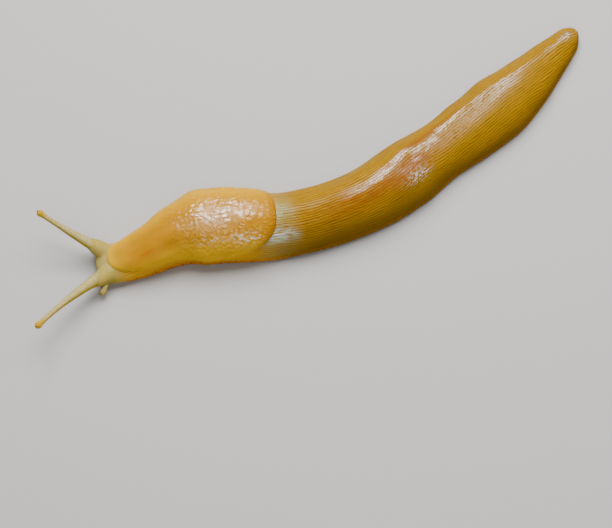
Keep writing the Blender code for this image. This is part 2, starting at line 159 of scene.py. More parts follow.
# %% Smooth curves through a table
def smooth_through(table, column, at):
    """A curve through a column of a table that never overshoots: cubic Hermite pieces, whose slope at a
    row is the harmonic mean of the slopes on its two sides, or 0 where those differ in sign."""
    places = np.array([row[0] for row in table])
    values = np.array([row[column] for row in table])
    at = np.clip(np.asarray(at, float), places[0], places[-1])
    step = np.diff(places)
    rise = np.diff(values) / step
    slope = np.concatenate([rise[:1], np.zeros(len(rise) - 1), rise[-1:]])
    before, after = rise[:-1], rise[1:]
    same_way = before * after > 0
    both = np.where(same_way, before + after, 1.0)
    slope[1:-1] = np.where(same_way, 2 * before * after / both, 0.0)
    piece = np.clip(np.searchsorted(places, at, side="right") - 1, 0, len(step) - 1)
    t = (at - places[piece]) / step[piece]
    rest = 1 - t
    start = values[piece] * (1 + 2 * t) * rest**2 + slope[piece] * step[piece] * t * rest**2
    end = values[piece + 1] * (3 - 2 * t) * t**2 - slope[piece + 1] * step[piece] * rest * t**2
    return start + end


def smooth_step(low, high, value):
    """0 below low, 1 above high, and an S-curve between: three times the square less twice the cube."""
    t = np.clip((value - low) / (high - low), 0, 1)
    return t * t * (3 - 2 * t)


height_mm = float(smooth_through(BODY_SIZES, 2, 0.031)) * 1000
print("height of the body under the mantle's middle in mm:", round(height_mm, 2))

# %% [markdown]
# A crawling slug follows its head, so its body bends along the line that the head took. The line could be
# a drawn curve. Here it is walked step by step from its headings, so that its length stays true, and any
# point of the body is given by its distance along the line, to the slug's left of it and up.

# %% Crawl line
def crawl_line(steps=720):
    """Places, x, y and headings: each point is the last one plus a short step along the mean heading."""
    places = np.linspace(0.0, BODY_LENGTH, steps + 1)
    headings = np.radians(smooth_through(CRAWL_HEADINGS, 1, places))
    step = places[1] - places[0]
    middle = (headings[1:] + headings[:-1]) / 2
    x = np.concatenate([[0.0], np.cumsum(np.cos(middle) * step)])
    y = np.concatenate([[0.0], np.cumsum(np.sin(middle) * step)])
    return places, x, y, headings


LINE_PLACES, LINE_X, LINE_Y, LINE_HEADINGS = crawl_line()


def in_plan(place, leftwards, up):
    """Points from distances along the crawl line, to the slug's left and up, before the frame's shift.
    Beyond its ends the line runs on straight."""
    place, leftwards, up = np.broadcast_arrays(*(np.asarray(a, float) for a in (place, leftwards, up)))
    heading = np.interp(place, LINE_PLACES, LINE_HEADINGS)
    over = np.minimum(place, 0.0) + np.maximum(place - BODY_LENGTH, 0.0)
    x = np.interp(place, LINE_PLACES, LINE_X) + over * np.cos(heading) + leftwards * np.sin(heading)
    y = np.interp(place, LINE_PLACES, LINE_Y) + over * np.sin(heading) - leftwards * np.cos(heading)
    return np.stack([x, y, up], axis=-1)


print("snout to tail tip, straight, in mm:", round(float(np.hypot(LINE_X[-1], LINE_Y[-1])) * 1000, 1))

# %% [markdown]
# The foot is the flat strip that the slug crawls on, and its fringe stands out a little beyond the body.
# The solids were set with the middle of their box over the origin. That shift could be typed in, but it is
# safer to measure it: the foot's last length is worked out here and compared with its solid's box.

# %% Foot and shift
FOOT_TAIL_PLACE = 0.1342


def end_rounding(place):
    """1 along the body, falling to 0 as a quarter circle at the snout and at the tail tip."""
    snout = np.clip(1 - place / SNOUT_ROUNDING, 0, 1)
    tail = np.clip(1 - (BODY_LENGTH - place) / TAIL_ROUNDING, 0, 1)
    return np.sqrt(np.maximum(1 - snout**2, 0)) * np.sqrt(np.maximum(1 - tail**2, 0))


def foot_half_width(place):
    """Half the foot's width: the body's, narrowed under the head, plus the flared fringe."""
    half = smooth_through(BODY_SIZES, 1, place)
    narrowing = smooth_through(FOOT_NARROWING, 1, place)
    return (half * narrowing + smooth_through(FOOT_FLARE, 1, place)) * end_rounding(place)


tail_places = np.linspace(FOOT_TAIL_PLACE, BODY_LENGTH, 400)
tail_half = foot_half_width(tail_places)
tail_edges = np.concatenate([in_plan(tail_places, side * tail_half, 0.0) for side in (-1, 1)])
tail_low, tail_high = (np.array(corner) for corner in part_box("foot_tail"))
SHIFT = (tail_low + tail_high) / 2 - (tail_edges.min(0) + tail_edges.max(0)) / 2
SHIFT[2] = 0.0
print("shift of the plan:", np.round(SHIFT, 5))

# %% [markdown]
# A slug's skin is never plain: long furrows on the trunk, fine grains on the mantle, rings on the eye
# stalks. Such relief could be sculpted or come from a Displace modifier. Sums of cosines with drawn
# directions were chosen, because they are quick, smooth and the same on each run. Where such a sum crosses
# zero lies a winding line, and a notch along those lines makes a net of furrows.

# %% Waves and furrows
def waves(a, b, wave_a, wave_b, seed, count=48):
    """A smooth random field with unit spread: a sum of cosines, whose directions, lengths near the two
    given and starts are drawn from the seed."""
    draw = np.random.default_rng(seed)
    angles = draw.uniform(0, 2 * math.pi, count)
    pitches = draw.uniform(0.7, 1.35, count)
    starts = draw.uniform(0, 2 * math.pi, count)
    total = np.zeros(np.broadcast(a, b).shape)
    for angle, pitch, start in zip(angles, pitches, starts):
        turns = pitch * (a * math.cos(angle) / wave_a + b * math.sin(angle) / wave_b)
        total += np.cos(2 * math.pi * turns + start)
    return total * math.sqrt(2 / count)


def furrows(field, width):
    """1 on the lines where the field crosses zero, falling to 0 away from them as a bell curve."""
    return np.exp(-((field / width) ** 2))


trial = waves(np.linspace(0, 40, 80)[:, None], np.linspace(0, 20, 40)[None, :], 12.0, 1.7, 3)
print("spread of a trial patch:", round(float(trial.std()), 2))

# %% [markdown]
# Every piece here is a grid of points, with rings across it and steps round each ring. Blender's own tubes
# and spheres could be bent into shape, but a grid gives each point its place on the skin. The helpers
# below find a grid's outward direction, and the map of the fan of triangles that closes its ends.

# %% Directions and end caps of a grid
def ring_normals(points):
    """Unit normals of a grid of closed rings: the cross product of the steps along it and round it."""
    along = np.gradient(points, axis=0)
    over = np.roll(points, -1, axis=1) - np.roll(points, 1, axis=1)
    normal = np.cross(along, over)
    return normal / np.maximum(np.linalg.norm(normal, axis=-1, keepdims=True), 1e-12)


def fan_map(row, last=False):
    """The map of a fan of triangles, each from the ring's middle to one of its edges."""
    middle = np.broadcast_to(row.mean(0), row[1:].shape)
    ends = (row[1:], row[:-1]) if last else (row[:-1], row[1:])
    return np.stack([middle, *ends], axis=1)


square = np.array([[0.0, 0.0], [1.0, 0.0], [1.0, 1.0], [0.0, 1.0], [0.0, 0.0]])
print("triangles in the fan of a square:", len(fan_map(square)))

# %% [markdown]
# Body, mantle, stalks and feelers are one skin on the slug, so their grids are collected into one mesh. It
# keeps a UV map, which says where on the skin a point lies, and a few named shares, such as how much of the
# mantle's rim a point is. The finish reads them later, so one finish can colour the whole animal.

# %% Grids made into one mesh
class Sheets:
    """Grids of points collected into one mesh, with a UV map in metres and named point values."""

    def __init__(self, *names):
        self.points, self.faces, self.maps = [], [], []
        self.values = {name: [] for name in names}
        self.count = 0

    def add_ringed(self, points, chart, **values):
        """Adds a closed tube: rings of points, each ring closed, and both ends closed on their middles.

        points is rings x round x 3 and chart is rings x (round + 1) x 2, whose last column is the seam's
        far side. A value is one number per point, or one for all.
        """
        rings, round_count = points.shape[:2]
        ring, column = np.meshgrid(np.arange(rings - 1), np.arange(round_count), indexing="ij")
        beside = (column + 1) % round_count
        corners = [(ring, column, column), (ring + 1, column, column),
                   (ring + 1, beside, column + 1), (ring, beside, column + 1)]
        quads = np.stack([a * round_count + b for a, b, _ in corners], axis=-1).reshape(-1, 4)
        quad_map = np.stack([chart[a, c] for a, _, c in corners], axis=2).reshape(-1, 4, 2)
        edge = np.arange(round_count)
        edge_end = (edge + 1) % round_count
        first_middle = np.full_like(edge, rings * round_count)
        last_ring = (rings - 1) * round_count
        caps = [np.stack([first_middle, edge, edge_end], axis=-1),
                np.stack([first_middle + 1, last_ring + edge_end, last_ring + edge], axis=-1)]
        self.faces.append([part + self.count for part in (quads, *caps)])
        self.maps.append([quad_map, fan_map(chart[0]), fan_map(chart[-1], last=True)])
        self.points.append(np.concatenate([points.reshape(-1, 3), [points[0].mean(0), points[-1].mean(0)]]))
        self.count += len(self.points[-1])
        for name, kept in self.values.items():
            value = np.broadcast_to(values.get(name, 0.0), points.shape[:2])
            kept.append(np.concatenate([value.reshape(-1), [value[0].mean(), value[-1].mean()]]))

    def build(self, name):
        """Makes the mesh object from all grids that were added."""
        mesh = bpy.data.meshes.new(name)
        corners = np.concatenate([part.reshape(-1) for faces in self.faces for part in faces])
        parts = [part for faces in self.faces for part in faces]
        sizes = np.concatenate([np.full(len(part), part.shape[1]) for part in parts])
        mapped = np.concatenate([part.reshape(-1, 2) for maps in self.maps for part in maps])
        points = np.concatenate(self.points)
        mesh.vertices.add(len(points))
        mesh.vertices.foreach_set("co", points.reshape(-1))
        mesh.loops.add(len(corners))
        mesh.loops.foreach_set("vertex_index", corners)
        mesh.polygons.add(len(sizes))
        mesh.polygons.foreach_set("loop_start", np.concatenate([[0], np.cumsum(sizes)[:-1]]))
        mesh.polygons.foreach_set("loop_total", sizes)
        mesh.update(calc_edges=True)
        mesh.uv_layers.new(name="skin").data.foreach_set("uv", mapped.reshape(-1).astype(np.float32))
        for key, kept in self.values.items():
            stored = mesh.attributes.new(key, "FLOAT", "POINT")
            stored.data.foreach_set("value", np.concatenate(kept).astype(np.float32))
        mesh.polygons.foreach_set("use_smooth", np.ones(len(sizes), bool))
        mesh.validate()
        piece = bpy.data.objects.new(name, mesh)
        bpy.context.scene.collection.objects.link(piece)
        print(name, "triangles:", int((sizes - 2).sum()))
        return piece


# %% [markdown]
# A slug's back is a wet half oval on its foot. From the waist on it rises to a keel, which leans to the
# right here. The wall could be lofted through a few drawn sections. A formula was chosen instead: it is the
# one that made the solids, so both agree, and it gives the outward direction at any point.

# %% Body wall
WALL_POWER = 0.84
# The solids tuck their wall in deeper over the foot, for the seam. A skin has none, so its tuck is small.
HEM_TUCK = 0.015
HEM_TUCK_HEIGHT = 0.0014


def arch_section(place, turn):
    """Left and height of the body wall: a half oval on its hem, pinched to a keel, leaning to the right.
    The turn runs from 0 at the left hem over a quarter turn on the back to half a turn at the right."""
    rounding = end_rounding(place)
    half = smooth_through(BODY_SIZES, 1, place) * rounding
    keel = smooth_through(BODY_SIZES, 3, place)
    base = FOOT_THICKNESS + SEAM
    rise = (smooth_through(BODY_SIZES, 2, place) - base) * rounding
    cosine, sine = np.cos(turn), np.clip(np.sin(turn), 0, 1)
    up = base + rise * sine**WALL_POWER
    tuck = 1 - HEM_TUCK * np.exp(-(((up - base) / HEM_TUCK_HEIGHT) ** 2))
    lean = smooth_through(BODY_SIZES, 4, place) * rounding * sine**2
    return half * np.sign(cosine) * np.abs(cosine) ** keel * tuck - lean, up


def skin_point(place, turn):
    """A point of the body wall in the shared frame."""
    place, turn = np.broadcast_arrays(np.asarray(place, float), np.asarray(turn, float))
    return in_plan(place, *arch_section(place, turn)) + SHIFT


def skin_normal(place, turn):
    """The outward direction there: the cross product of two short steps across the wall."""
    step, angle = 1e-5, 1e-3
    along = skin_point(place + step, turn) - skin_point(place - step, turn)
    over = skin_point(place, turn + angle) - skin_point(place, turn - angle)
    normal = np.cross(along, over)
    return normal / np.linalg.norm(normal, axis=-1, keepdims=True)


print("back over the waist:", np.round(skin_point(0.104, math.pi / 2), 4))

# %% [markdown]
# Wall, fringe and sole together make one closed surface. Its rings run from the middle of the sole round
# the foot's edge, up the left flank, over the back and down the right flank. Under the snout the foot ends
# and the rings close over the lips instead. The rings lie closer together where snout and tail are round,
# so that both ends stay smooth.

# %% Body rings
BODY_RINGS = 560
END_RINGS = 26
END_REACH = 1.2
POLE_GAP = 2e-5
ARCH_STEPS = 86
EDGE_STEPS = 7
SOLE_STEPS = 4
FOOT_FRONT = 0.0042
FOOT_FRONT_REACH = 0.0045


def body_places():
    """Ring places, spaced by a cosine inside the rounded snout and tail and evenly between."""
    ease = np.linspace(0, math.pi / 2, END_RINGS)
    snout = SNOUT_ROUNDING * END_REACH * (1 - np.cos(ease))
    tail = BODY_LENGTH - TAIL_ROUNDING * END_REACH * (1 - np.cos(ease[::-1]))
    middle = np.linspace(snout[-1], tail[0], BODY_RINGS - 2 * (END_RINGS - 1))
    return np.concatenate([[POLE_GAP], snout[1:-1], middle, tail[1:-1], [BODY_LENGTH - POLE_GAP]])


def foot_section(place):
    """The sole's half width, then left and height of the foot's edge: a round bead that runs up to the
    wall's hem. In front of the foot it shrinks under the chin."""
    front = np.clip((place - FOOT_FRONT) / FOOT_FRONT_REACH, 0, 1)
    share = np.sqrt(1 - (1 - front) ** 2)
    presence = smooth_step(FOOT_FRONT - 0.0004, FOOT_FRONT + 0.0016, place)
    radius = FOOT_THICKNESS / 2
    foot = foot_half_width(place) * np.maximum(share, 0.02)
    chin = smooth_through(BODY_SIZES, 1, place) * end_rounding(place) * 0.9
    half = chin + (np.maximum(foot, chin * 0.6) - chin) * presence
    inner = np.maximum(half - radius, half * 0.3)
    bead = np.linspace(-math.pi / 2, math.radians(34), EDGE_STEPS)[None, :]
    hem_height = FOOT_THICKNESS + SEAM * 0.6
    edge_up = hem_height - (hem_height - (radius + radius * np.sin(bead))) * presence
    return inner, inner + (half - inner) * np.cos(bead), edge_up


def body_surface():
    """Points, places and turns of the body's grid, from the sole's middle round by the left side."""
    place = body_places()[:, None]
    turn = np.linspace(0, math.pi, ARCH_STEPS + 1)[None, :]
    wall_left, wall_up = arch_section(place, turn)
    inner, edge_left, edge_up = foot_section(place)
    sole_left = inner * np.linspace(0.0, 1.0, SOLE_STEPS, endpoint=False)[None, :]
    sole_up = np.broadcast_to(edge_up[:, :1], sole_left.shape)
    left = [sole_left, edge_left, wall_left, -edge_left[:, ::-1], -sole_left[:, :0:-1]]
    up = np.concatenate([sole_up, edge_up, wall_up, edge_up[:, ::-1], sole_up[:, :0:-1]], axis=1)
    place = np.broadcast_to(place, up.shape)
    under = SOLE_STEPS + EDGE_STEPS
    turns = np.concatenate([np.full(under, -0.1), turn[0], np.full(under - 1, math.pi + 0.1)])
    return in_plan(place, np.concatenate(left, axis=1), up) + SHIFT, place, np.broadcast_to(turns, up.shape)


body_points, body_place, body_turn = body_surface()
body_heights = body_points[..., 2]
print("body grid:", body_heights.shape, "lowest and highest:", body_heights.min(), body_heights.max())

# %% [markdown]
# Furrows and colours have to follow the skin round the bends. Blender could unwrap the mesh, but with its
# own cuts and stretch. Here the map is measured: the place along the crawl line, and the girth, which is
# the distance round the ring from the middle of the back. So a furrow keeps its real width everywhere.

# %% Map of the body
BACK_COLUMN = SOLE_STEPS + EDGE_STEPS + ARCH_STEPS // 2


def girth_of(points, middle_column):
    """Distance round each ring from one column, with one more column where the ring closes."""
    closed = np.concatenate([points, points[:, :1]], axis=1)
    step = np.linalg.norm(np.diff(closed, axis=1), axis=-1)
    walked = np.concatenate([np.zeros((len(points), 1)), np.cumsum(step, axis=1)], axis=1)
    return walked - walked[:, middle_column, None]


body_girth = girth_of(body_points, BACK_COLUMN)
body_map = np.stack([np.broadcast_to(body_place[:, :1], body_girth.shape), body_girth], axis=-1)
along_mm, round_mm = body_place * 1000, body_girth[:, :-1] * 1000
middle_ring = body_girth[BODY_RINGS // 2]
print("girth in the middle of the body in mm:", round(float(middle_ring[-1] - middle_ring[0]) * 1000, 1))

# %% [markdown]
# On a real trunk long furrows run from head to tail and join in a net, so that the skin can swell and
# shrink. The neck's net is finer and weaker, and lumps of muscle show through both. Bump in the finish
# could fake all this, but then the outline and the exported mesh would stay plain. So the coarse part is
# real relief, up to a third of a millimetre, and only the finest lines are left to bump.

# %% Furrows and lumps
NET_DEPTH = 0.000032
FINE_NET_DEPTH = 0.000018
LUMP_HEIGHT = 0.00009
NECK_NET_DEPTH = 0.00004
NECK_LUMP_HEIGHT = 0.00005

on_wall = ((body_turn >= 0) & (body_turn <= math.pi)).astype(float)
ends = end_rounding(body_place)
behind_mantle = smooth_step(0.055, 0.064, body_place)
net = furrows(waves(along_mm, round_mm, 12.0, 1.7, 3), 0.32)
fine_net = furrows(waves(along_mm, round_mm, 6.0, 1.15, 11), 0.35)
lumps = waves(along_mm, round_mm, 16.0, 9.0, 5)
trunk_relief = LUMP_HEIGHT * lumps - NET_DEPTH * net - FINE_NET_DEPTH * fine_net
neck_relief = NECK_LUMP_HEIGHT * lumps - NECK_NET_DEPTH * fine_net
body_relief = on_wall * ends * (behind_mantle * trunk_relief + (1 - behind_mantle) * neck_relief)
print("deepest hollow in mm:", round(float(body_relief.min()) * 1000, 3))

# %% [markdown]
# Three more forms are small but telling. A shallow trough follows the mantle's rear rim. The foot's fringe
# is gathered into short upright creases. Above the tail tip lies the slime pit. They are added to the same
# relief, which then moves each point along its outward direction. Last, nothing may sink into the floor.

# %% Trough, fringe and slime pit
TROUGH_FRONT, TROUGH_REAR = (0.0566, 0.0586), (0.0668, 0.0588)
TROUGH_DEPTH = 0.00022
CREASE_HEIGHT = 0.00005
PIT_PLACE, PIT_LENGTH, PIT_WIDTH, PIT_DEPTH = 0.1805, 0.0010, 0.0009, 0.0004

trough = smooth_step(*TROUGH_FRONT, body_place) * smooth_step(*TROUGH_REAR, body_place) * on_wall
body_relief -= TROUGH_DEPTH * trough
edge_share = np.clip((body_heights - 0.0001) / 0.0026, 0, 1)
fringe = (1 - on_wall) * smooth_step(0.0, 0.9, np.sin(edge_share * math.pi))
body_relief += CREASE_HEIGHT * fringe * waves(along_mm, round_mm, 0.95, 6.0, 17) * ends
from_pit = ((body_place - PIT_PLACE) / PIT_LENGTH) ** 2 + (body_girth[:, :-1] / PIT_WIDTH) ** 2
body_relief -= PIT_DEPTH * np.exp(-from_pit) * on_wall
body_skin = body_points + ring_normals(body_points) * body_relief[..., None]
body_skin[..., 2] = np.maximum(body_skin[..., 2], 0.0)
print("relief from and to, in mm:", np.round([body_relief.min() * 1000, body_relief.max() * 1000], 3))

# %% [markdown]
# A banana slug has two pairs of feelers: long upper stalks, each with an eye in its tip, and short lower
# ones, with which it tastes the ground. In this pose both stalks are held forwards and out to their sides,
# and the left one is stretched longer. A line could be drawn by hand as a curve. Here it runs from a root
# in the head to a tip, with a slight bow, so that a few numbers read from the picture set it.

# %% Lines of the stalks and feelers
SIDES = ("left", "right")
# Root: place, to the left, up. Tip: x, y and z from the root
STALK_ROOT = {"left": (0.0030, 0.0034, 0.0048), "right": (0.0036, -0.0039, 0.0050)}
STALK_TIP = {"left": (-0.0198, -0.0213, 0.0070), "right": (-0.0202, 0.0091, 0.0098)}
STALK_BOW = {"left": 0.0010, "right": -0.0004}
FEELER_ROOT = {"left": (0.0030, 0.0046, 0.0041), "right": (0.0030, -0.0046, 0.0041)}
FEELER_TIP = {"left": (-0.0019, -0.0054, -0.0012), "right": (-0.0036, 0.0040, -0.0010)}


def bowed(root, tip, bow, shares):
    """Points on a line from root to tip that bows sideways in plan by a parabola."""
    root, tip = np.asarray(root), np.asarray(tip)
    ahead = (tip - root) / np.linalg.norm(tip - root)
    sideways = np.cross(ahead, (0, 0, 1))
    shares = np.asarray(shares)[:, None]
    return root + (tip - root) * shares + sideways * bow * 4 * shares * (1 - shares)


def stalk_path(side, shares):
    """Points of an eye stalk's middle line at shares of its length."""
    root = in_plan(*STALK_ROOT[side]) + SHIFT
    return bowed(root, root + np.array(STALK_TIP[side]), STALK_BOW[side], shares)


def feeler_path(side, shares):
    """Points of a feeler's middle line at shares of its length."""
    root = in_plan(*FEELER_ROOT[side]) + SHIFT
    return bowed(root, root + np.array(FEELER_TIP[side]), 0.0, shares)


print("stalks' lengths in mm:", [round(float(np.linalg.norm(STALK_TIP[side])) * 1000, 1) for side in SIDES])

# %% [markdown]
# The stalks and feelers grow out of swollen corners of the head, and two lips bulge below them. These
# could be joined on with a Boolean or remeshed, which roughens the grid. Instead the head's own points are
# moved: skin inside an egg goes out to the egg's shell, with a smooth bend at its foot.

# %% Swollen roots and lips
HEAD_LENGTH = 0.016
STALK_EGG = (0.0070, 0.0027)
FEELER_EGG = (0.0026, 0.00125)
LIP_MIDDLE = (0.0026, 0.0021, 0.0030)
LIP_RADII = np.array((0.0024, 0.0022, 0.0022))

heading = math.radians(CRAWL_HEADINGS[0][1])
ahead_x, ahead_y = math.cos(heading), math.sin(heading)
HEAD_AXES = np.array([[ahead_x, ahead_y, 0], [ahead_y, -ahead_x, 0], [0, 0, 1]])


def swelling(distance):
    """How far to move from the egg's middle: a distance d, counted in the egg's radii, becomes the sixth
    root of (1 + d^6), which hardly changes what is far outside."""
    factor = (1 + np.maximum(distance, 0.05) ** -6.0) ** (1 / 6)
    return np.where(distance > 2.0, 1.0, factor)[..., None]


def swell_root(points, middle, axis, along, across):
    """The points with an egg pushed out: long along its axis and round across it."""
    axis = np.asarray(axis) / np.linalg.norm(axis)
    offset = points - middle
    forward = (offset @ axis)[..., None] * axis
    distance = np.linalg.norm(forward / along + (offset - forward) / across, axis=-1)
    return middle + offset * swelling(distance)


def swell_lip(points, sign):
    """The points with one lip pushed out: an egg with three radii along the head's own axes."""
    middle = in_plan(LIP_MIDDLE[0], sign * LIP_MIDDLE[1], LIP_MIDDLE[2]) + SHIFT
    offset = (points - middle) @ HEAD_AXES.T / LIP_RADII
    return middle + (offset * swelling(np.linalg.norm(offset, axis=-1)) * LIP_RADII) @ HEAD_AXES


head_rows = body_place[:, 0] < HEAD_LENGTH
head_skin = body_skin[head_rows]
for side, sign in zip(SIDES, (1, -1)):
    head_skin = swell_root(head_skin, stalk_path(side, [0.0])[0], STALK_TIP[side], *STALK_EGG)
    head_skin = swell_root(head_skin, feeler_path(side, [0.0])[0], FEELER_TIP[side], *FEELER_EGG)
    head_skin = swell_lip(head_skin, sign)
head_skin[..., 2] = np.maximum(head_skin[..., 2], 0.0)
moved = np.linalg.norm(head_skin - body_skin[head_rows], axis=-1).max()
body_skin[head_rows] = head_skin
print("furthest move of the head's skin in mm:", round(float(moved) * 1000, 2))

# %% [markdown]
# The mouth is a short level slit between the lips, right above the floor. Real lips meet in a crease. Here
# the skin is drawn back into the head along that line, so that the slit is a groove and stays closed.

# %% Mouth
MOUTH_LEVEL = 0.0026
MOUTH_DEPTH = 0.0007
MOUTH_HALF_WIDTH = 0.0019
MOUTH_HALF_HEIGHT = 0.00034

snout = in_plan(0.0, 0.0, MOUTH_LEVEL) + SHIFT
from_snout = (body_skin - snout) @ HEAD_AXES.T
slit = np.exp(-((from_snout[..., 2] / MOUTH_HALF_HEIGHT) ** 2))
slit *= np.exp(-((from_snout[..., 1] / MOUTH_HALF_WIDTH) ** 4))
slit *= smooth_step(0.0032, 0.0012, from_snout[..., 0]) * (body_place < 0.012)
backwards = in_plan(0.004, 0, 0) - in_plan(0.0, 0, 0)
body_skin += MOUTH_DEPTH * slit[..., None] * (backwards / np.linalg.norm(backwards))
print("points in the slit:", int((slit > 0.5).sum()))

# %% [markdown]
# The mantle is a thick saddle of flesh over the neck and the front of the trunk. It could be a shell with
# a Solidify modifier. A grid of spokes and rings was chosen, laid on the body wall: from the middle of the
# back, radius 0, to the rim, radius 1. Its plan is a squared oval, and it hangs down further in the middle.

# %% Plan of the mantle
MANTLE_FRONT = 0.0038
MANTLE_REAR = 0.0585
MANTLE_SQUARENESS = 2.7
# Share of the way from the middle to the rear, and how many degrees of turn the rim lies from the keel
MANTLE_REACH = ((-1.0, 66.0), (-0.6, 73.0), (-0.1, 83.0), (0.3, 86.5), (1.0, 84.0))
MANTLE_RINGS = 88
MANTLE_SPOKES = 290
# Radii of three more rings, which run back in under the rim
UNDER_RADII = (0.985, 0.95, 0.90)


def mantle_plan(radius, around):
    """Share along, place and turn of a point of the flap: a circle's cosine and sine, each raised to
    2/squareness, so that the round plan becomes a squared oval."""
    power = 2 / MANTLE_SQUARENESS
    along = radius * np.sign(np.cos(around)) * np.abs(np.cos(around)) ** power
    over = radius * np.sign(np.sin(around)) * np.abs(np.sin(around)) ** power
    middle, half = (MANTLE_FRONT + MANTLE_REAR) / 2, (MANTLE_REAR - MANTLE_FRONT) / 2
    reach = np.radians(smooth_through(MANTLE_REACH, 1, along))
    return along, middle + half * along, math.pi / 2 + reach * over


spread = np.sin(np.linspace(0.01, 1.0, MANTLE_RINGS) * math.pi / 2)
flap_radius = np.concatenate([spread, UNDER_RADII])[:, None]
around = np.linspace(0, 2 * math.pi, MANTLE_SPOKES, endpoint=False)[None, :]
flap_radius, around = np.broadcast_arrays(flap_radius, around)
flap_along, flap_place, flap_turn = mantle_plan(flap_radius, around)
print("mantle grid:", flap_place.shape)

# %% [markdown]
# The flap's section is a low cushion with a round rim. The rim dips a tenth of a millimetre into the skin
# below it, and the three last rings turn in under it, so a thin shadow line shows all round, but no gap.
# The rear half is granular and folded, while the front stays smooth.

# %% Body of the mantle
MANTLE_THICKNESS = ((-1.0, 0.0013), (0.0, 0.0016), (1.0, 0.0017))
MANTLE_SEAM = 0.00038
MANTLE_RIM_POWER = 9.0
RIM_DIP = 0.00012
UNDER_RISE = (-0.0003, -0.0006, -0.0009)
FOLD_DEPTH = 0.00009
GRAIN_HEIGHT = 0.000032
SWELL_HEIGHT = 0.00007
# One radian of turn is about this many millimetres on the mantle's back
BACK_RADIUS_MM = 11.5

thickness = smooth_through(MANTLE_THICKNESS, 1, flap_along) + MANTLE_SEAM
rise = (thickness + RIM_DIP) * np.sqrt(np.maximum(1 - flap_radius**MANTLE_RIM_POWER, 0)) - RIM_DIP
rise[-len(UNDER_RISE):] = np.array(UNDER_RISE)[:, None]
outward = skin_normal(flap_place, flap_turn)
flap = skin_point(flap_place, flap_turn) + outward * rise[..., None]

flap_mm, flap_round = flap_place * 1000, (flap_turn - math.pi / 2) * BACK_RADIUS_MM
rough = smooth_step(0.018, 0.034, flap_place) * np.sqrt(np.maximum(1 - flap_radius**4, 0))
folds = furrows(waves(flap_mm, flap_round, 5.0, 3.6, 23), 0.30)
grains = waves(flap_mm, flap_round, 1.7, 1.5, 29)
swells = waves(flap_mm, flap_round, 9.0, 7.0, 31)
flap_relief = rough * (GRAIN_HEIGHT * grains - FOLD_DEPTH * folds)
flap_relief += SWELL_HEIGHT * swells * (1 - flap_radius**6)
relief_ends = np.array([flap_relief.min(), flap_relief.max()]) * 1000
print("mantle's relief from and to, in mm:", np.round(relief_ends, 3))

# %% [markdown]
# A slug breathes through a pore in the right side of its mantle, which opens and shuts. It is modelled half
# open: a small funnel with a raised lip. The photograph doesn't show that side, so its place is the
# species'. It could be cut with a Boolean, but a dent in the same grid keeps the skin whole.

# %% Breathing pore
PORE_PLACE = 0.0400
PORE_TURN = 146.0
PORE_RISE = 0.0019
PORE_RADIUS, PORE_DEPTH = 0.0010, 0.0012
PORE_LIP_RADIUS, PORE_LIP_WIDTH, PORE_LIP_HEIGHT = 0.0017, 0.0005, 0.00022
PORE_SHADE_RADIUS = 0.0011

pore_at = np.array([PORE_PLACE]), np.radians([PORE_TURN])
pore_middle = (skin_point(*pore_at) + skin_normal(*pore_at) * PORE_RISE)[0]
from_pore = np.linalg.norm(flap - pore_middle, axis=-1)
flap_relief -= PORE_DEPTH * np.exp(-((from_pore / PORE_RADIUS) ** 2))
flap_relief += PORE_LIP_HEIGHT * np.exp(-(((from_pore - PORE_LIP_RADIUS) / PORE_LIP_WIDTH) ** 2))
flap_relief[-len(UNDER_RISE):] = 0.0
flap = flap + outward * flap_relief[..., None]
flap[..., 2] = np.maximum(flap[..., 2], 0.0)
flap_map = np.stack([flap_place, flap_round / 1000], axis=-1)
flap_map = np.concatenate([flap_map, flap_map[:, :1]], axis=1)
flap_rim = smooth_step(0.86, 1.0, flap_radius)
flap_pore_shade = np.exp(-((from_pore / PORE_SHADE_RADIUS) ** 2))
print("pore at:", np.round(pore_middle, 4), "lowest rim in mm:", round(float(flap[..., 2].min()) * 1000, 2))

# %% [markdown]
# An eye stalk is a hollow finger that the slug can roll in. It tapers from its root to a thin neck and ends
# in a ball with the eye in its tip. The feelers below are short and blunt. A curve with a bevel could make
# the tube, but a grid of rings round the line takes any radius at any place, and its map for the finish.

# %% Shape of the stalks and feelers
STALK_BULB_RADIUS = 0.0011
STALK_RADII = (
    (0.00, 0.0027),
    (0.08, 0.0023),
    (0.18, 0.0018),
    (0.36, 0.0014),
    (0.84, 0.0008),
    (0.91, 0.00085),
    (0.955, STALK_BULB_RADIUS),
)
FEELER_RADIUS = 0.00092
# Shares of the length at which the round ends begin
STALK_BEND, FEELER_BEND = 0.955, 0.80
TUBE_SIDES = 28


def stalk_radius(shares):
    """The table's radius, closed by a quarter circle over the end."""
    end = np.clip((shares - STALK_BEND) / (1 - STALK_BEND), 0, 1)
    return smooth_through(STALK_RADII, 1, shares) * np.sqrt(np.maximum(1 - end**2, 0.0))


def feeler_radius(shares):
    """A cone that thins slowly, closed by a quarter circle over its last fifth."""
    end = np.clip((shares - FEELER_BEND) / (1 - FEELER_BEND), 0, 1)
    taper = 1.25 - 0.35 * np.minimum(shares, FEELER_BEND)
    return FEELER_RADIUS * taper * np.sqrt(np.maximum(1 - end**2, 0.0))


def tube(path, radii, sides=TUBE_SIDES):
    """Rings round a path: each has its own radius and stands square to the path's direction."""
    ahead = np.gradient(path, axis=0)
    ahead /= np.linalg.norm(ahead, axis=1, keepdims=True)
    side = np.cross(ahead, (0.0, 0.0, 1.0))
    side /= np.linalg.norm(side, axis=1, keepdims=True)
    top = np.cross(side, ahead)
    angle = np.linspace(-math.pi, math.pi, sides, endpoint=False)[None, :, None]
    ring = -np.sin(angle) * side[:, None] + np.cos(angle) * top[:, None]
    return path[:, None] + ring * radii[..., None], angle[0, :, 0]


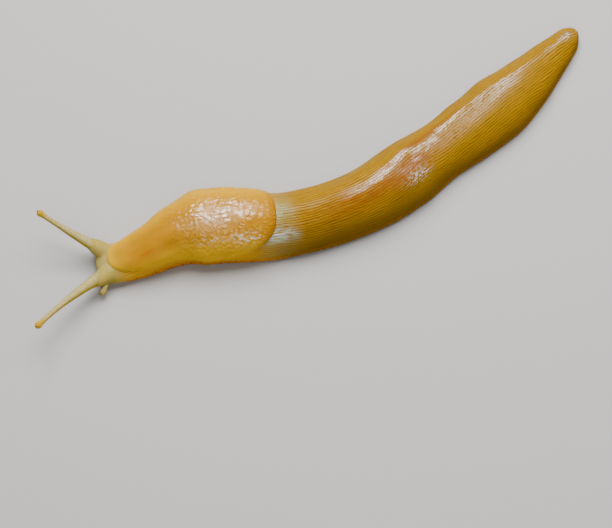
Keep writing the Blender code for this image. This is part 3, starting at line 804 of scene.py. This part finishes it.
thinnest_mm = float(stalk_radius(np.linspace(0.5, 0.9, 41)).min()) * 2000
print("thinnest place of a stalk in mm:", round(thinnest_mm, 2))

# %% [markdown]
# Now the animal gets its one skin: body, mantle, stalks and feelers go into one mesh, each with shares that
# the finish reads, such as how pale, how far down the flank or how near the tip a point is. A seam between
# two pieces would catch the light, while one skin shows none.

# %% Body and mantle in the skin
PALE_FRONT = (0.0520, 0.0540)

skin_sheets = Sheets("pale", "fringe", "flank", "trough", "tip", "top", "mantle", "rim", "pore")
pale_head = smooth_step(0.0098, 0.0042, body_place) * np.maximum(on_wall, 0.7)
pale_band = smooth_step(*PALE_FRONT, body_place) * smooth_step(*TROUGH_REAR, body_place) * on_wall
flank = np.abs(body_turn - math.pi / 2) / (math.pi / 2)
flank = flank * (0.30 + 0.70 * smooth_step(0.048, 0.074, body_place))
fringe = fringe * (0.25 + 0.75 * smooth_step(0.064, 0.048, body_place))
fringe = fringe * (0.30 + 0.70 * smooth_step(0.0035, 0.0095, body_place))
skin_sheets.add_ringed(
    body_skin, body_map,
    pale=pale_head, fringe=fringe, flank=flank, trough=pale_band, top=0.75 * (1 - flank),
)
skin_sheets.add_ringed(flap, flap_map, mantle=1.0, rim=flap_rim, pore=flap_pore_shade)
print("points of body and mantle:", skin_sheets.count)

# %% [markdown]
# Where a stalk has shortened a little, shallow rings cross it. They are waves too, short along the stalk
# and long round it, so they come out uneven like real ones. They fade before the ball at the end.

# %% Stalks and feelers in the skin
RING_SHARE = 0.022
RING_PITCH = 0.55
STALK_ROUND = 0.0012

for number, side in enumerate(SIDES):
    for path_of, radius_of, bend, rings in (
        (stalk_path, stalk_radius, STALK_BEND, 110),
        (feeler_path, feeler_radius, FEELER_BEND, 40),
    ):
        even = np.linspace(0.0, bend, rings)
        cap = bend + (1 - bend) * np.sin(np.linspace(0, math.pi / 2, 14)[1:]) * 0.9995
        shares = np.concatenate([even, cap])
        path = path_of(side, shares)
        length = np.linalg.norm(path[-1] - path[0])
        walked_mm, round_place = shares[:, None] * length * 1000, np.linspace(0, 6, TUBE_SIDES)[None, :]
        ring_relief = waves(walked_mm, round_place, RING_PITCH, 5.0, 41 + number)
        ring_relief *= smooth_step(1.0, 0.9, shares)[:, None]
        points, angle = tube(path, radius_of(shares)[:, None] * (1 + RING_SHARE * ring_relief))
        tube_round = np.append(angle, math.pi)[None, :] * STALK_ROUND
        tube_map = np.stack(np.broadcast_arrays(-shares[:, None] * length, tube_round), axis=-1)
        tip = smooth_step(0.80, 1.0, shares)[:, None]
        skin_sheets.add_ringed(points, tube_map, pale=1.0, flank=0.35, tip=tip, top=np.cos(angle)[None, :])
skin = skin_sheets.build("slug_skin")

# %% [markdown]
# Each eye is a tiny black bead, sunk in the tip of its stalk and turned a little upwards. Blender's UV
# sphere would do too. The grid is used again, so that the bead has its place in its mesh and a closed pole.

# %% Eyes
EYE_RADIUS = 0.00036
EYE_SINK = 0.00018
EYE_UPTURN = np.array([0.0, 0.0, 0.35])


def bead(name, middle, radius, rings=24, sides=32):
    """A sphere as rings of latitude: the sine of the level gives a ring's radius, the cosine its height."""
    level = np.linspace(0, math.pi, rings)[1:-1, None]
    angle = np.linspace(0, 2 * math.pi, sides, endpoint=False)[None, :]
    ring = np.stack(np.broadcast_arrays(
        np.sin(level) * np.cos(angle), np.sin(level) * np.sin(angle), np.cos(level)), axis=-1)
    sheets = Sheets()
    sheets.add_ringed(middle + radius * ring, np.zeros((rings - 2, sides + 1, 2)))
    return sheets.build(name)


eyes = []
for side in SIDES:
    ball, tip = stalk_path(side, [0.985, 1.0])
    look = (tip - ball) / np.linalg.norm(tip - ball) + EYE_UPTURN
    look /= np.linalg.norm(look)
    middle = stalk_path(side, [0.958])[0] + look * (STALK_BULB_RADIUS - EYE_SINK)
    eyes.append(bead(f"eye_bead_{side}", middle, EYE_RADIUS))
    print(side, "eye at", np.round(middle, 4))

# %% [markdown]
# A finish is a tree of nodes. Placing and linking them one by one takes pages and hides the idea, so a
# small class wraps a node's output and lets the maths be written as ordinary expressions. Each operator
# adds one Math node, and any other node comes from one method.

# %% Shader values as expressions
class Field:
    """A shader value. Sums, products and powers of it make Math nodes; node() makes any other node."""

    def __init__(self, tree, socket=None):
        self.tree, self.socket = tree, socket

    def node(self, kind, settings=None, values=None, output=0):
        """Makes a node: its settings first, then a number or a link for each named or counted input."""
        made = self.tree.nodes.new(kind)
        for name, value in (settings or {}).items():
            setattr(made, name, value)
        for name, value in (values or {}).items():
            if isinstance(value, Field):
                self.tree.links.new(value.socket, made.inputs[name])
            else:
                made.inputs[name].default_value = value
        return Field(self.tree, made.outputs[output])

    def maths(self, operation, first=None, second=0.0):
        first = self if first is None else first
        return self.node("ShaderNodeMath", {"operation": operation}, {0: first, 1: second})

    def __add__(self, other):
        return self.maths("ADD", self, other)

    def __radd__(self, other):
        return self.maths("ADD", other, self)

    def __sub__(self, other):
        return self.maths("SUBTRACT", self, other)

    def __rsub__(self, other):
        return self.maths("SUBTRACT", other, self)

    def __mul__(self, other):
        return self.maths("MULTIPLY", self, other)

    def __rmul__(self, other):
        return self.maths("MULTIPLY", other, self)

    def __truediv__(self, other):
        return self.maths("DIVIDE", self, other)

    def __pow__(self, other):
        return self.maths("POWER", self, other)

    def __abs__(self):
        return self.maths("ABSOLUTE", self)


print("methods of a shader value:", [name for name in vars(Field) if callable(getattr(Field, name))])

# %% [markdown]
# Wet flesh lets light in a little way, redder with depth, so the skin has some scattering. Slime lies on it
# as a clear coat, where the coat's weight says so. The coat bends light more than water does, which makes
# its streaks as bright as they are in the photograph. Everything in the finish starts from two fields, the
# place along the body and the girth round it, both in millimetres, from the skin's own UV map.

# %% Skin's finish and its map
FLESH = {
    "Roughness": 0.3,
    "Subsurface Weight": 0.22,
    "Subsurface Radius": (1.0, 0.48, 0.12),
    "Subsurface Scale": 0.0012,
    "Specular IOR Level": 0.04,
    "Coat Roughness": 0.19,
    "Coat IOR": 2.0,
}


def new_finish(name, constants):
    """A material whose surface has some fixed values, and the field that its expressions start from."""
    material = bpy.data.materials.new(name)
    material.use_nodes = True
    surface = material.node_tree.nodes["Principled BSDF"]
    for socket, value in constants.items():
        surface.inputs[socket].default_value = value
    return material, Field(material.node_tree)


def place_and_girth(start):
    """Both axes of the skin's UV map, which holds metres, in millimetres."""
    skin_map = start.node("ShaderNodeUVMap", {"uv_map": "skin"})
    return [start.node("ShaderNodeSeparateXYZ", None, {0: skin_map}, output=axis) * 1000.0 for axis in "XY"]


def attribute(start, name):
    """A share that the mesh keeps for each of its points."""
    return start.node("ShaderNodeAttribute", {"attribute_name": name}, None, output="Fac")


skin_finish, start = new_finish("slug_skin", FLESH)
place, girth = place_and_girth(start)
pale, fringe_share = attribute(start, "pale"), attribute(start, "fringe")
flank_share, trough_share = attribute(start, "flank"), attribute(start, "trough")
tip_share, top_share = attribute(start, "tip"), attribute(start, "top")
print("nodes that read the mesh:", len(skin_finish.node_tree.nodes))

# %% [markdown]
# Patterns and masks come from a few simple tools: S-curves and bells that are 1 in one place and 0 in
# others, cloudy noise, cells, and evenly spaced lines. Girth is 0 on the keel, less than 0 on the slug's
# left and more on its right. Warping the girth with slow noise first keeps the lines from being ruled.

# %% Tools for patterns and masks
def between(field, low, high):
    """0 at low, 1 at high, and an S-curve between."""
    values = {"Value": field, 1: low, 2: high}
    return field.node("ShaderNodeMapRange", {"interpolation_type": "SMOOTHSTEP"}, values)


def bell(field, middle, width):
    """1 where the field is at middle, falling off like a bell on both sides: e to the minus square."""
    scaled = (field - middle) / width
    return field.maths("POWER", math.e, 0.0 - scaled * scaled)


def patch(along, over):
    """A soft oval patch; both pairs give a middle and a width in mm, along the body and round it."""
    return bell(place, *along) * bell(girth, *over)


def vector(x, y):
    """Two fields as the x and y of a vector."""
    return x.node("ShaderNodeCombineXYZ", None, {0: x, 1: y})


def noise(at, detail=3.0, roughness=0.5, scale=1.0):
    """Cloudy noise; its clouds are about one unit wide, divided by the scale."""
    return at.node(
        "ShaderNodeTexNoise", None, {"Vector": at, "Scale": scale, "Detail": detail, "Roughness": roughness}
    )


def cell_edges(at, randomness=1.0, scale=1.0):
    """Distance to the nearest edge between cells, each about one unit wide, divided by the scale."""
    values = {"Vector": at, "Scale": scale, "Randomness": randomness}
    return at.node("ShaderNodeTexVoronoi", {"feature": "DISTANCE_TO_EDGE"}, values)


def ripple(field, pitch):
    """0 on evenly spaced lines and 1 midway between them: the size of a sine."""
    return abs((field * (math.pi / pitch)).maths("SINE"))


def mix(share, first, second):
    """The first value where share is 0 and the second where it is 1."""
    return first + (second - first) * share


def blend(share, first, second):
    """A colour between two; each is three linear numbers or a field. Inputs 0, 6 and 7 and output 2 are
    the Mix node's factor, two colours and colour."""
    first, second = ((*c, 1.0) if isinstance(c, tuple) else c for c in (first, second))
    return share.node("ShaderNodeMix", {"data_type": "RGBA"}, {0: share, 6: first, 7: second}, output=2)


wander = noise(vector(place * 0.10, girth * 0.25), 2.0) - 0.5
across = girth + wander * 1.5
print("nodes so far:", len(skin_finish.node_tree.nodes))

# %% [markdown]
# The trunk's fine lines lie 0.84 mm apart. A sine of the girth makes them, noise breaks them up, and the
# edges of long cells link them into a net. They are too fine to model, so they are colour and bump only.
# The skin is bright on the ridges and browner between them. Down the flanks it is plainer, and darker by
# painted shade. Towards the neck it is more orange.

# %% Lines, ground colours and painted flank shade of the trunk
LINE_PITCH = 0.84
RIDGE = (0.345, 0.182, 0.000)
FURROW = (0.090, 0.038, 0.000)
SHADED_FLANK = (0.200, 0.102, 0.001)
SHADED_FLANK_FURROW = (0.130, 0.062, 0.000)
NECK = (0.84, 0.430, 0.010)

breaks = noise(vector(place / 4.0, girth / 0.9), 2.0) - 0.5
ridges = between(ripple(across, LINE_PITCH) + breaks * 0.8, 0.04, 0.70)
links = between(cell_edges(vector(place / 3.4, across / (2 * LINE_PITCH)), 0.8), -0.05, 0.10)
fine = noise(vector(place / 1.1, across / 0.26))
mottle = noise(vector(place / 5.0, girth / 2.6), 4.0, 0.6)
colour = blend(ridges * 0.80 + fine * 0.10 + mottle * 0.22, FURROW, RIDGE)
# Down the flanks the colour turns darker: painted shade.
colour = blend(between(flank_share, 0.40, 1.0) * 0.85, colour, blend(ridges * 0.8 + 0.2, SHADED_FLANK_FURROW, SHADED_FLANK))
colour = blend(between(place, 62.0, 46.0) * (0.30 + 0.35 * mottle + 0.30 * ridges), colour, NECK)
print("lines in a centimetre of girth:", round(10.0 / LINE_PITCH, 1))

# %% [markdown]
# The left of the trunk is rusty and freckled in the photograph. Right of the keel a groove, which the
# relief lacks, is painted as a dark rusty line of shade. Each is a soft patch, placed in millimetres on the
# skin, and noise breaks it into freckles. They could be painted on an image, but a formula stays sharp at
# any size.

# %% Rust, freckles and painted groove shade
RUST = (0.250, 0.072, 0.000)
RUST_GIRTH = (-4.2, 3.6)
RUST_WAIST, RUST_FRONT = (103.0, 11.0), (82.0, 13.0)
GROOVE_SHADE_PLACE, GROOVE_SHADE_GIRTH = (113.0, 15.0), (1.2, 1.1)

freckles = noise(vector(place / 3.0, girth / 1.3), 4.0, 0.65)
rust_patch = bell(girth, *RUST_GIRTH) * (bell(place, *RUST_WAIST) + 0.8 * bell(place, *RUST_FRONT))
rust = rust_patch * (0.45 + 0.55 * between(freckles + mottle * 0.4, 0.55, 0.78))
colour = blend(rust, colour, RUST)
# Painted shade of a groove right of the keel, in the rusty colour.
colour = blend(patch(GROOVE_SHADE_PLACE, GROOVE_SHADE_GIRTH) * (0.45 + 0.6 * freckles), colour, RUST)
print("nodes so far:", len(skin_finish.node_tree.nodes))

# %% [markdown]
# The trough behind the mantle is stretched skin, so pale that grey mucus shows in it. Further back the
# slime has half dried into white flecks on the waist's left and near the tail tip; those on the waist are
# painted glints as well. Clear slime would be coat alone. Half dry it looks milky, so it is colour here,
# and the flecks, which still shine, are added to the coat as well, two cells further on. Along the left of
# the keel a thin pinkish sheen is painted into the colour.

# %% Pale trough, dried slime and painted sheen
CREAM = (0.33, 0.44, 0.25)
MUCUS_AND_GLINT_WHITE = (0.62, 0.66, 0.68)
PAINTED_SHEEN = (0.66, 0.44, 0.27)
CREAM_KEEL, CREAM_LEFT, MUCUS_LEFT = (-0.5, 3.2), (-9.4, 1.9), (-8.4, 1.8)
WAIST_FLECKS_AND_GLINTS = (104.0, 4.0), (-7.6, 1.7)
FLECK_TAIL = (178.0, 2.2), (-1.0, 1.2)
SHEEN_PATCH = (131.0, 16.0), (-3.6, 2.2)

streaks = between(noise(vector(place / 3.0, girth / 0.42), 2.0), 0.35, 0.65)
cream_share = bell(girth, *CREAM_KEEL) * 0.6 + bell(girth, *CREAM_LEFT) * 0.85 + 0.16
colour = blend(trough_share * (0.25 + 0.75 * streaks) * cream_share, colour, CREAM)
colour = blend(trough_share * streaks * bell(girth, *MUCUS_LEFT) * 0.8, colour, MUCUS_AND_GLINT_WHITE)
flecks_and_glints = between(noise(vector(place / 1.3, girth / 0.5), 3.0, 0.7), 0.50, 0.58)
flecks_and_glints = flecks_and_glints * (patch(*WAIST_FLECKS_AND_GLINTS) + patch(*FLECK_TAIL))
# Flecks of half-dried slime; on the waist they are painted glints as well.
colour = blend(flecks_and_glints, colour, MUCUS_AND_GLINT_WHITE)
# A painted pinkish sheen along the left of the keel.
colour = blend(patch(*SHEEN_PATCH) * between(fine + mottle * 0.5, 0.55, 0.95) * 0.50, colour, PAINTED_SHEEN)
print("nodes so far:", len(skin_finish.node_tree.nodes))

# %% [markdown]
# The head and its stalks are straw-coloured and granular, with darker skin between the pale grains and
# clear orange tips. The grains are kept to the top, so the top is paler: grain, and painted light from
# above. The map stretches where the stalks grow out of the head, so the grains read Object coordinates
# instead, which fit any shape. The foot's fringe is orange with dark dots and dashes.

# %% Head, stalks and fringe
STRAW = (0.38, 0.265, 0.012)
GRAIN = (0.51, 0.50, 0.29)
TIP = (0.55, 0.32, 0.010)
FRINGE = (0.62, 0.210, 0.000)
DOTS = (0.16, 0.026, 0.000)
GRAINS_PER_METRE = 2100.0

body_point = start.node("ShaderNodeTexCoord", output="Object")
grain = cell_edges(body_point, 1.0, GRAINS_PER_METRE)
# Pale grains kept to the top: real grain, and a paler top as painted light from above.
grains_on_lit_top = between(top_share, 0.45, 0.95) * between(grain, 0.02, 0.20)
straw = blend((0.06 + 0.94 * grains_on_lit_top) * between(tip_share, 0.9, 0.1) * 0.9, STRAW, GRAIN)
straw = blend(tip_share * 0.8, straw, TIP)
colour = blend(pale, colour, straw)
dots = between(noise(vector(place / 0.62, girth), 2.0), 0.52, 0.64)
body_colour = blend(fringe_share * 0.9, colour, blend(dots, FRINGE, DOTS))
print("grains are about", round(1000 / GRAINS_PER_METRE, 2), "mm wide")

# %% [markdown]
# Slime is thick on the ridges of the back and thin on the flanks and in the furrows, so the light that it
# mirrors breaks into streaks. In the photograph they begin behind the trough and run left of the keel, and
# on the tail only the keel itself shines. A coat of even weight would look like varnish. So the coat's
# weight is a product of masks: not on the flank, not on the pale head, on the ridges, in wet pools, in the
# right stretch. The fine lines' height goes to bump, weaker on the head, where the grains take over.

# %% Slime, gloss and bump of the body
WET_GIRTH = (-9.0, -5.0)
WET_START = (76.0, 100.0)
TAIL_START = (144.0, 156.0)
TAIL_KEEL = (-0.9, 0.7)

lines_height = (ridges * links * 0.55 + fine * 0.35) * (1.0 - 0.8 * pale)
body_height = lines_height + between(grain, 0.0, 0.2) * pale * 0.35
body_roughness = 0.28 + 0.10 * fine + 0.45 * between(flank_share, 0.4, 0.9)
film = ridges * between(fine + wander * 0.3, 0.34, 0.58)
body_slime = between(flank_share, 0.70, 0.30) * (1.0 - 0.85 * pale) * (0.12 + 0.88 * film)
pools = between(noise(vector(place / 4.5, girth / 1.3)), 0.34, 0.50)
behind = (0.08 + 0.92 * between(place, *WET_START)) * between(girth, *WET_GIRTH)
far_side = between(girth + 1.6 * between(place, 104.0, 86.0), 0.8, 3.0)
tail_keel = 1.0 - between(place, *TAIL_START) * (1.0 - 0.8 * bell(girth, *TAIL_KEEL))
body_slime = body_slime * (0.15 + 0.85 * pools) * behind * (1.0 - 0.97 * far_side)
body_slime = body_slime * (0.12 + 0.88 * tail_keel) + flecks_and_glints
print("nodes so far:", len(skin_finish.node_tree.nodes))

# %% [markdown]
# The mantle is smoother and more orange than the trunk. Its rear half is granular and finely wrinkled. A
# lighter hem runs round its front and a reddish crease crosses its left side. Painted light makes both
# sides lighter low down, painted shade darkens the rear rim, and the breathing pore is painted dark inside
# as shade. The wrinkles are edges of cells, bent by slow noise so that they don't look like tiles.

# %% Colours of the mantle
MANTLE_RIDGE = (0.510, 0.245, 0.000)
MANTLE_DEEP = (0.340, 0.142, 0.000)
MANTLE_RIM = (0.66, 0.390, 0.008)
MANTLE_RED = (0.42, 0.105, 0.000)
MANTLE_BOUNCE_LIGHT = (0.74, 0.420, 0.000)
PORE_PAINTED_SHADE = (0.07, 0.025, 0.003)
RED_CREASE = (16.2, 2.6), (-5.2, 0.9)

bend_along = noise(vector(place / 4.0, girth / 4.0), 2.0) - 0.5
bend_over = noise(vector(place / 4.0 + 7.0, girth / 4.0 + 3.0), 2.0) - 0.5
wrinkle = cell_edges(vector((place + bend_along * 6.0) / 1.9, (girth + bend_over * 6.0) / 1.5))
wrinkles = between(wrinkle, 0.03, 0.26)
grit = noise(vector(place / 0.35, girth / 0.35))
cloud = noise(vector(place / 7.0, girth / 5.0), 4.0, 0.6)
granular = between(place, 20.0, 35.0)
rim = attribute(start, "rim")
rear_rim = rim * between(place, 46.0, 56.0)

colour = blend(wrinkles * granular * 0.4 + cloud * 0.7 + 0.1, MANTLE_DEEP, MANTLE_RIDGE)
# Painted light: both sides of the mantle lighter low down.
painted_bounce_light = between(girth, -6.0, -13.0) + between(girth, 1.0, 8.0) * 0.60
colour = blend(painted_bounce_light * (0.6 + 0.4 * cloud), colour, MANTLE_BOUNCE_LIGHT)
front_hem = between(place, 22.0, 6.0) * 0.7 * rim + between(place, 13.0, 4.5) * 0.35
colour = blend(front_hem, colour, MANTLE_RIM)
# Painted shade along the mantle's rear rim.
colour = blend(rear_rim * 0.85, colour, MANTLE_DEEP)
colour = blend(patch(*RED_CREASE) * 0.7, colour, MANTLE_RED)
print("nodes so far:", len(skin_finish.node_tree.nodes))

# %% [markdown]
# The thickest slime lies on the mantle's rear half, between the wrinkles. A large pool on top and small
# blobs low on its left shine as coat, and their pinkish highlights are painted into the colour as well. The
# rear rim, the far side and a dry stretch low on the left carry less of it.

# %% Slime and painted highlights of the mantle
PAINTED_HIGHLIGHT = (0.80, 0.64, 0.50)
HIGHLIGHT_POOL = (38.0, 6.5), (-2.8, 2.4)
GLINT_BLOBS_REAR, GLINT_BLOBS_MIDDLE = ((49.5, 3.4), (-8.4, 1.3)), ((38.0, 6.0), (-8.8, 1.2))

glint_blobs = patch(*GLINT_BLOBS_REAR) + 0.4 * patch(*GLINT_BLOBS_MIDDLE)
glint_blobs = glint_blobs * between(noise(vector(place / 1.5, girth / 0.9), 3.0, 0.65), 0.50, 0.57)
painted_pool_highlight = patch(*HIGHLIGHT_POOL) * (0.2 + 0.5 * wrinkles) * (0.4 + 0.6 * between(cloud, 0.35, 0.55))
# Painted highlights: the pool on top and the glinting blobs low on the left.
colour = blend(painted_pool_highlight, colour, PAINTED_HIGHLIGHT)
colour = blend(glint_blobs * 0.9, colour, PAINTED_HIGHLIGHT)
# Painted shade inside the breathing pore.
mantle_colour = blend(attribute(start, "pore"), colour, PORE_PAINTED_SHADE)

pool = between(noise(vector(place / 3.2, girth / 2.4), 3.0, 0.6), 0.34, 0.50)
dry_front = between(girth, -5.2, -8.2) * between(place, 47.0, 41.0)
dry_far_side = between(girth, 2.2, 5.2)
mantle_slime = between(abs(girth + 0.5), 12.5, 7.0) * (0.04 + 0.96 * granular) * (0.18 + 0.82 * wrinkles)
mantle_slime = mantle_slime * (0.10 + 0.90 * pool) * (1.0 - 0.85 * dry_far_side)
mantle_slime = mantle_slime * (1.0 - 0.75 * dry_front) * (1.0 - 0.9 * rear_rim) * between(place, 60.0, 40.0)
mantle_slime = mantle_slime * (1.0 - 0.8 * bell(girth, -5.8, 2.0)) + glint_blobs
print("nodes so far:", len(skin_finish.node_tree.nodes))

# %% [markdown]
# A share that is 1 on the mantle picks its values there, so body, mantle, stalks and feelers stay one skin
# with one finish. Only sockets that can be baked take a field. The height goes through a Bump node, whose
# distance of 0.18 mm says how tall a height of 1 is.

# %% Plugging the skin's finish
BUMP_HEIGHT = 0.00018


def plug(start, height, distance, fields):
    """Links each field to the surface's socket of that name, and the height through a Bump node."""
    surface = start.tree.nodes["Principled BSDF"]
    bump = height.node("ShaderNodeBump", None, {"Height": height, "Distance": distance, "Strength": 1.0})
    for socket, field in {**fields, "Normal": bump}.items():
        start.tree.links.new(field.socket, surface.inputs[socket])


on_mantle = attribute(start, "mantle")
mantle_height = (0.10 + 0.90 * granular) * (wrinkles * 0.6 + grit * 0.3)
plug(start, mix(on_mantle, body_height, mantle_height), BUMP_HEIGHT, {
    "Base Color": blend(on_mantle, body_colour, mantle_colour),
    "Roughness": mix(on_mantle, body_roughness, 0.26 + 0.12 * grit),
    "Coat Weight": mix(on_mantle, body_slime, mantle_slime),
})
skin.data.materials.append(skin_finish)
print("nodes in the skin's finish:", len(skin_finish.node_tree.nodes))

# %% [markdown]
# The eye is black and glossy under a clear skin, so its finish is nearly black with a smooth coat. A faint
# mottle, from noise in Object coordinates, keeps it from being one flat tone.

# %% Eyes' finish
EYE_DARK, EYE_LIGHT = (0.010, 0.007, 0.006), (0.022, 0.014, 0.010)
EYE = {"Roughness": 0.08, "Coat Weight": 1.0, "Coat Roughness": 0.03}

eye_finish, eye_start = new_finish("slug_eye", EYE)
eye_mottle = noise(eye_start.node("ShaderNodeTexCoord", output="Object"), 2.0, scale=4000.0)
plug(eye_start, eye_mottle, 0.00001, {"Base Color": blend(eye_mottle, EYE_DARK, EYE_LIGHT)})
for eye in eyes:
    eye.data.materials.append(eye_finish)
print("nodes in the eyes' finish:", len(eye_finish.node_tree.nodes))

# %% [markdown]
# The slug lies on a plain pale floor, which is scenery and no part of the model. It could be a curved
# backdrop, but a flat square of 4 m fills every view that looks down. It is rough and grey, so that it
# hardly mirrors the slug or tints it.

# %% Floor
FLOOR_GREY = (0.43, 0.43, 0.42, 1.0)

bpy.ops.mesh.primitive_plane_add(size=4.0, location=(0.0, 0.0, 0.0))
floor = bpy.context.object
floor.name = "floor"
floor_material = bpy.data.materials.new("floor")
floor_material.use_nodes = True
floor_surface = floor_material.node_tree.nodes["Principled BSDF"]
floor_surface.inputs["Base Color"].default_value = FLOOR_GREY
floor_surface.inputs["Roughness"].default_value = 0.8
floor.data.materials.append(floor_material)
print("floor:", floor.name, "at", tuple(floor.location))

# %% [markdown]
# In the photograph soft daylight comes from above and a little behind, with brighter patches in it. One
# broad light stands for the sky, and the wet back mirrors it. Three small ones stand for the brighter
# patches, to the right, behind and in front, and draw the streaks on trunk and mantle. A wide weak one in
# front opens the near flank's shade. A sky picture could light it too, but its shapes couldn't be placed.

# %% Lights
WARM_WHITE, COOL_WHITE, PINK_WHITE = (1.0, 0.96, 0.95), (0.98, 0.98, 1.0), (1.0, 0.98, 1.0)
# Name, where it stands, what it faces, width and depth, all in metres, power in watts, tint
LIGHTS = (
    ("sky", (-0.03, 0.24, 0.61), (-0.02, 0.0, 0.0), (0.44, 0.46), 8.6, WARM_WHITE),
    ("right_patch", (0.36, 0.26, 0.48), (0.05, 0.03, 0.0), (0.24, 0.24), 1.6, WARM_WHITE),
    ("back_patch", (-0.09, 0.50, 0.46), (-0.04, -0.03, 0.0), (0.12, 0.20), 1.0, WARM_WHITE),
    ("front_patch", (-0.01, -0.42, 0.58), (0.0, 0.0, 0.0), (0.16, 0.06), 0.4, PINK_WHITE),
    ("fill", (0.05, -0.60, 0.45), (0.0, 0.0, 0.0), (0.6, 0.6), 1.5, COOL_WHITE),
)


def area_light(name, stand, aim, size, power, tint):
    """A flat light that faces its aim: tilted from straight down, then turned to the aim's side."""
    data = bpy.data.lights.new(name, "AREA")
    data.shape, data.size, data.size_y = "RECTANGLE", *size
    data.energy, data.color = power, tint
    light = bpy.data.objects.new(name, data)
    bpy.context.scene.collection.objects.link(light)
    light.location = stand
    away = np.array(stand) - np.array(aim)
    tilt = math.acos(away[2] / np.linalg.norm(away))
    light.rotation_euler = (tilt, 0.0, math.atan2(away[1], away[0]) + math.pi / 2)
    return light


lights = [area_light(*row) for row in LIGHTS]
world = bpy.data.worlds.new("world")
world.use_nodes = True
background = world.node_tree.nodes["Background"]
background.inputs["Color"].default_value = (0.90, 0.92, 0.95, 1.0)
background.inputs["Strength"].default_value = 0.10
bpy.context.scene.world = world
print("lights:", [light.name for light in lights])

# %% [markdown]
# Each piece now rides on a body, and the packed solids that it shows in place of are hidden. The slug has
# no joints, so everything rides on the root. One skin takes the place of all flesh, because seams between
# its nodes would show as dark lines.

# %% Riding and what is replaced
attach(skin, "root")
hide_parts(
    "head", "neck", "trunk_front", "trunk_middle", "trunk_rear", "tail", "foot_front", "foot_middle",
    "foot_rear", "foot_tail", "mantle", "eye_stalk_left", "eye_stalk_right", "feeler_left", "feeler_right",
)
for side, eye in zip(SIDES, eyes):
    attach(eye, "root")
    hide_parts(f"eye_{side}")
print("pieces:", [piece.name for piece in (skin, *eyes)])

# %% [markdown]
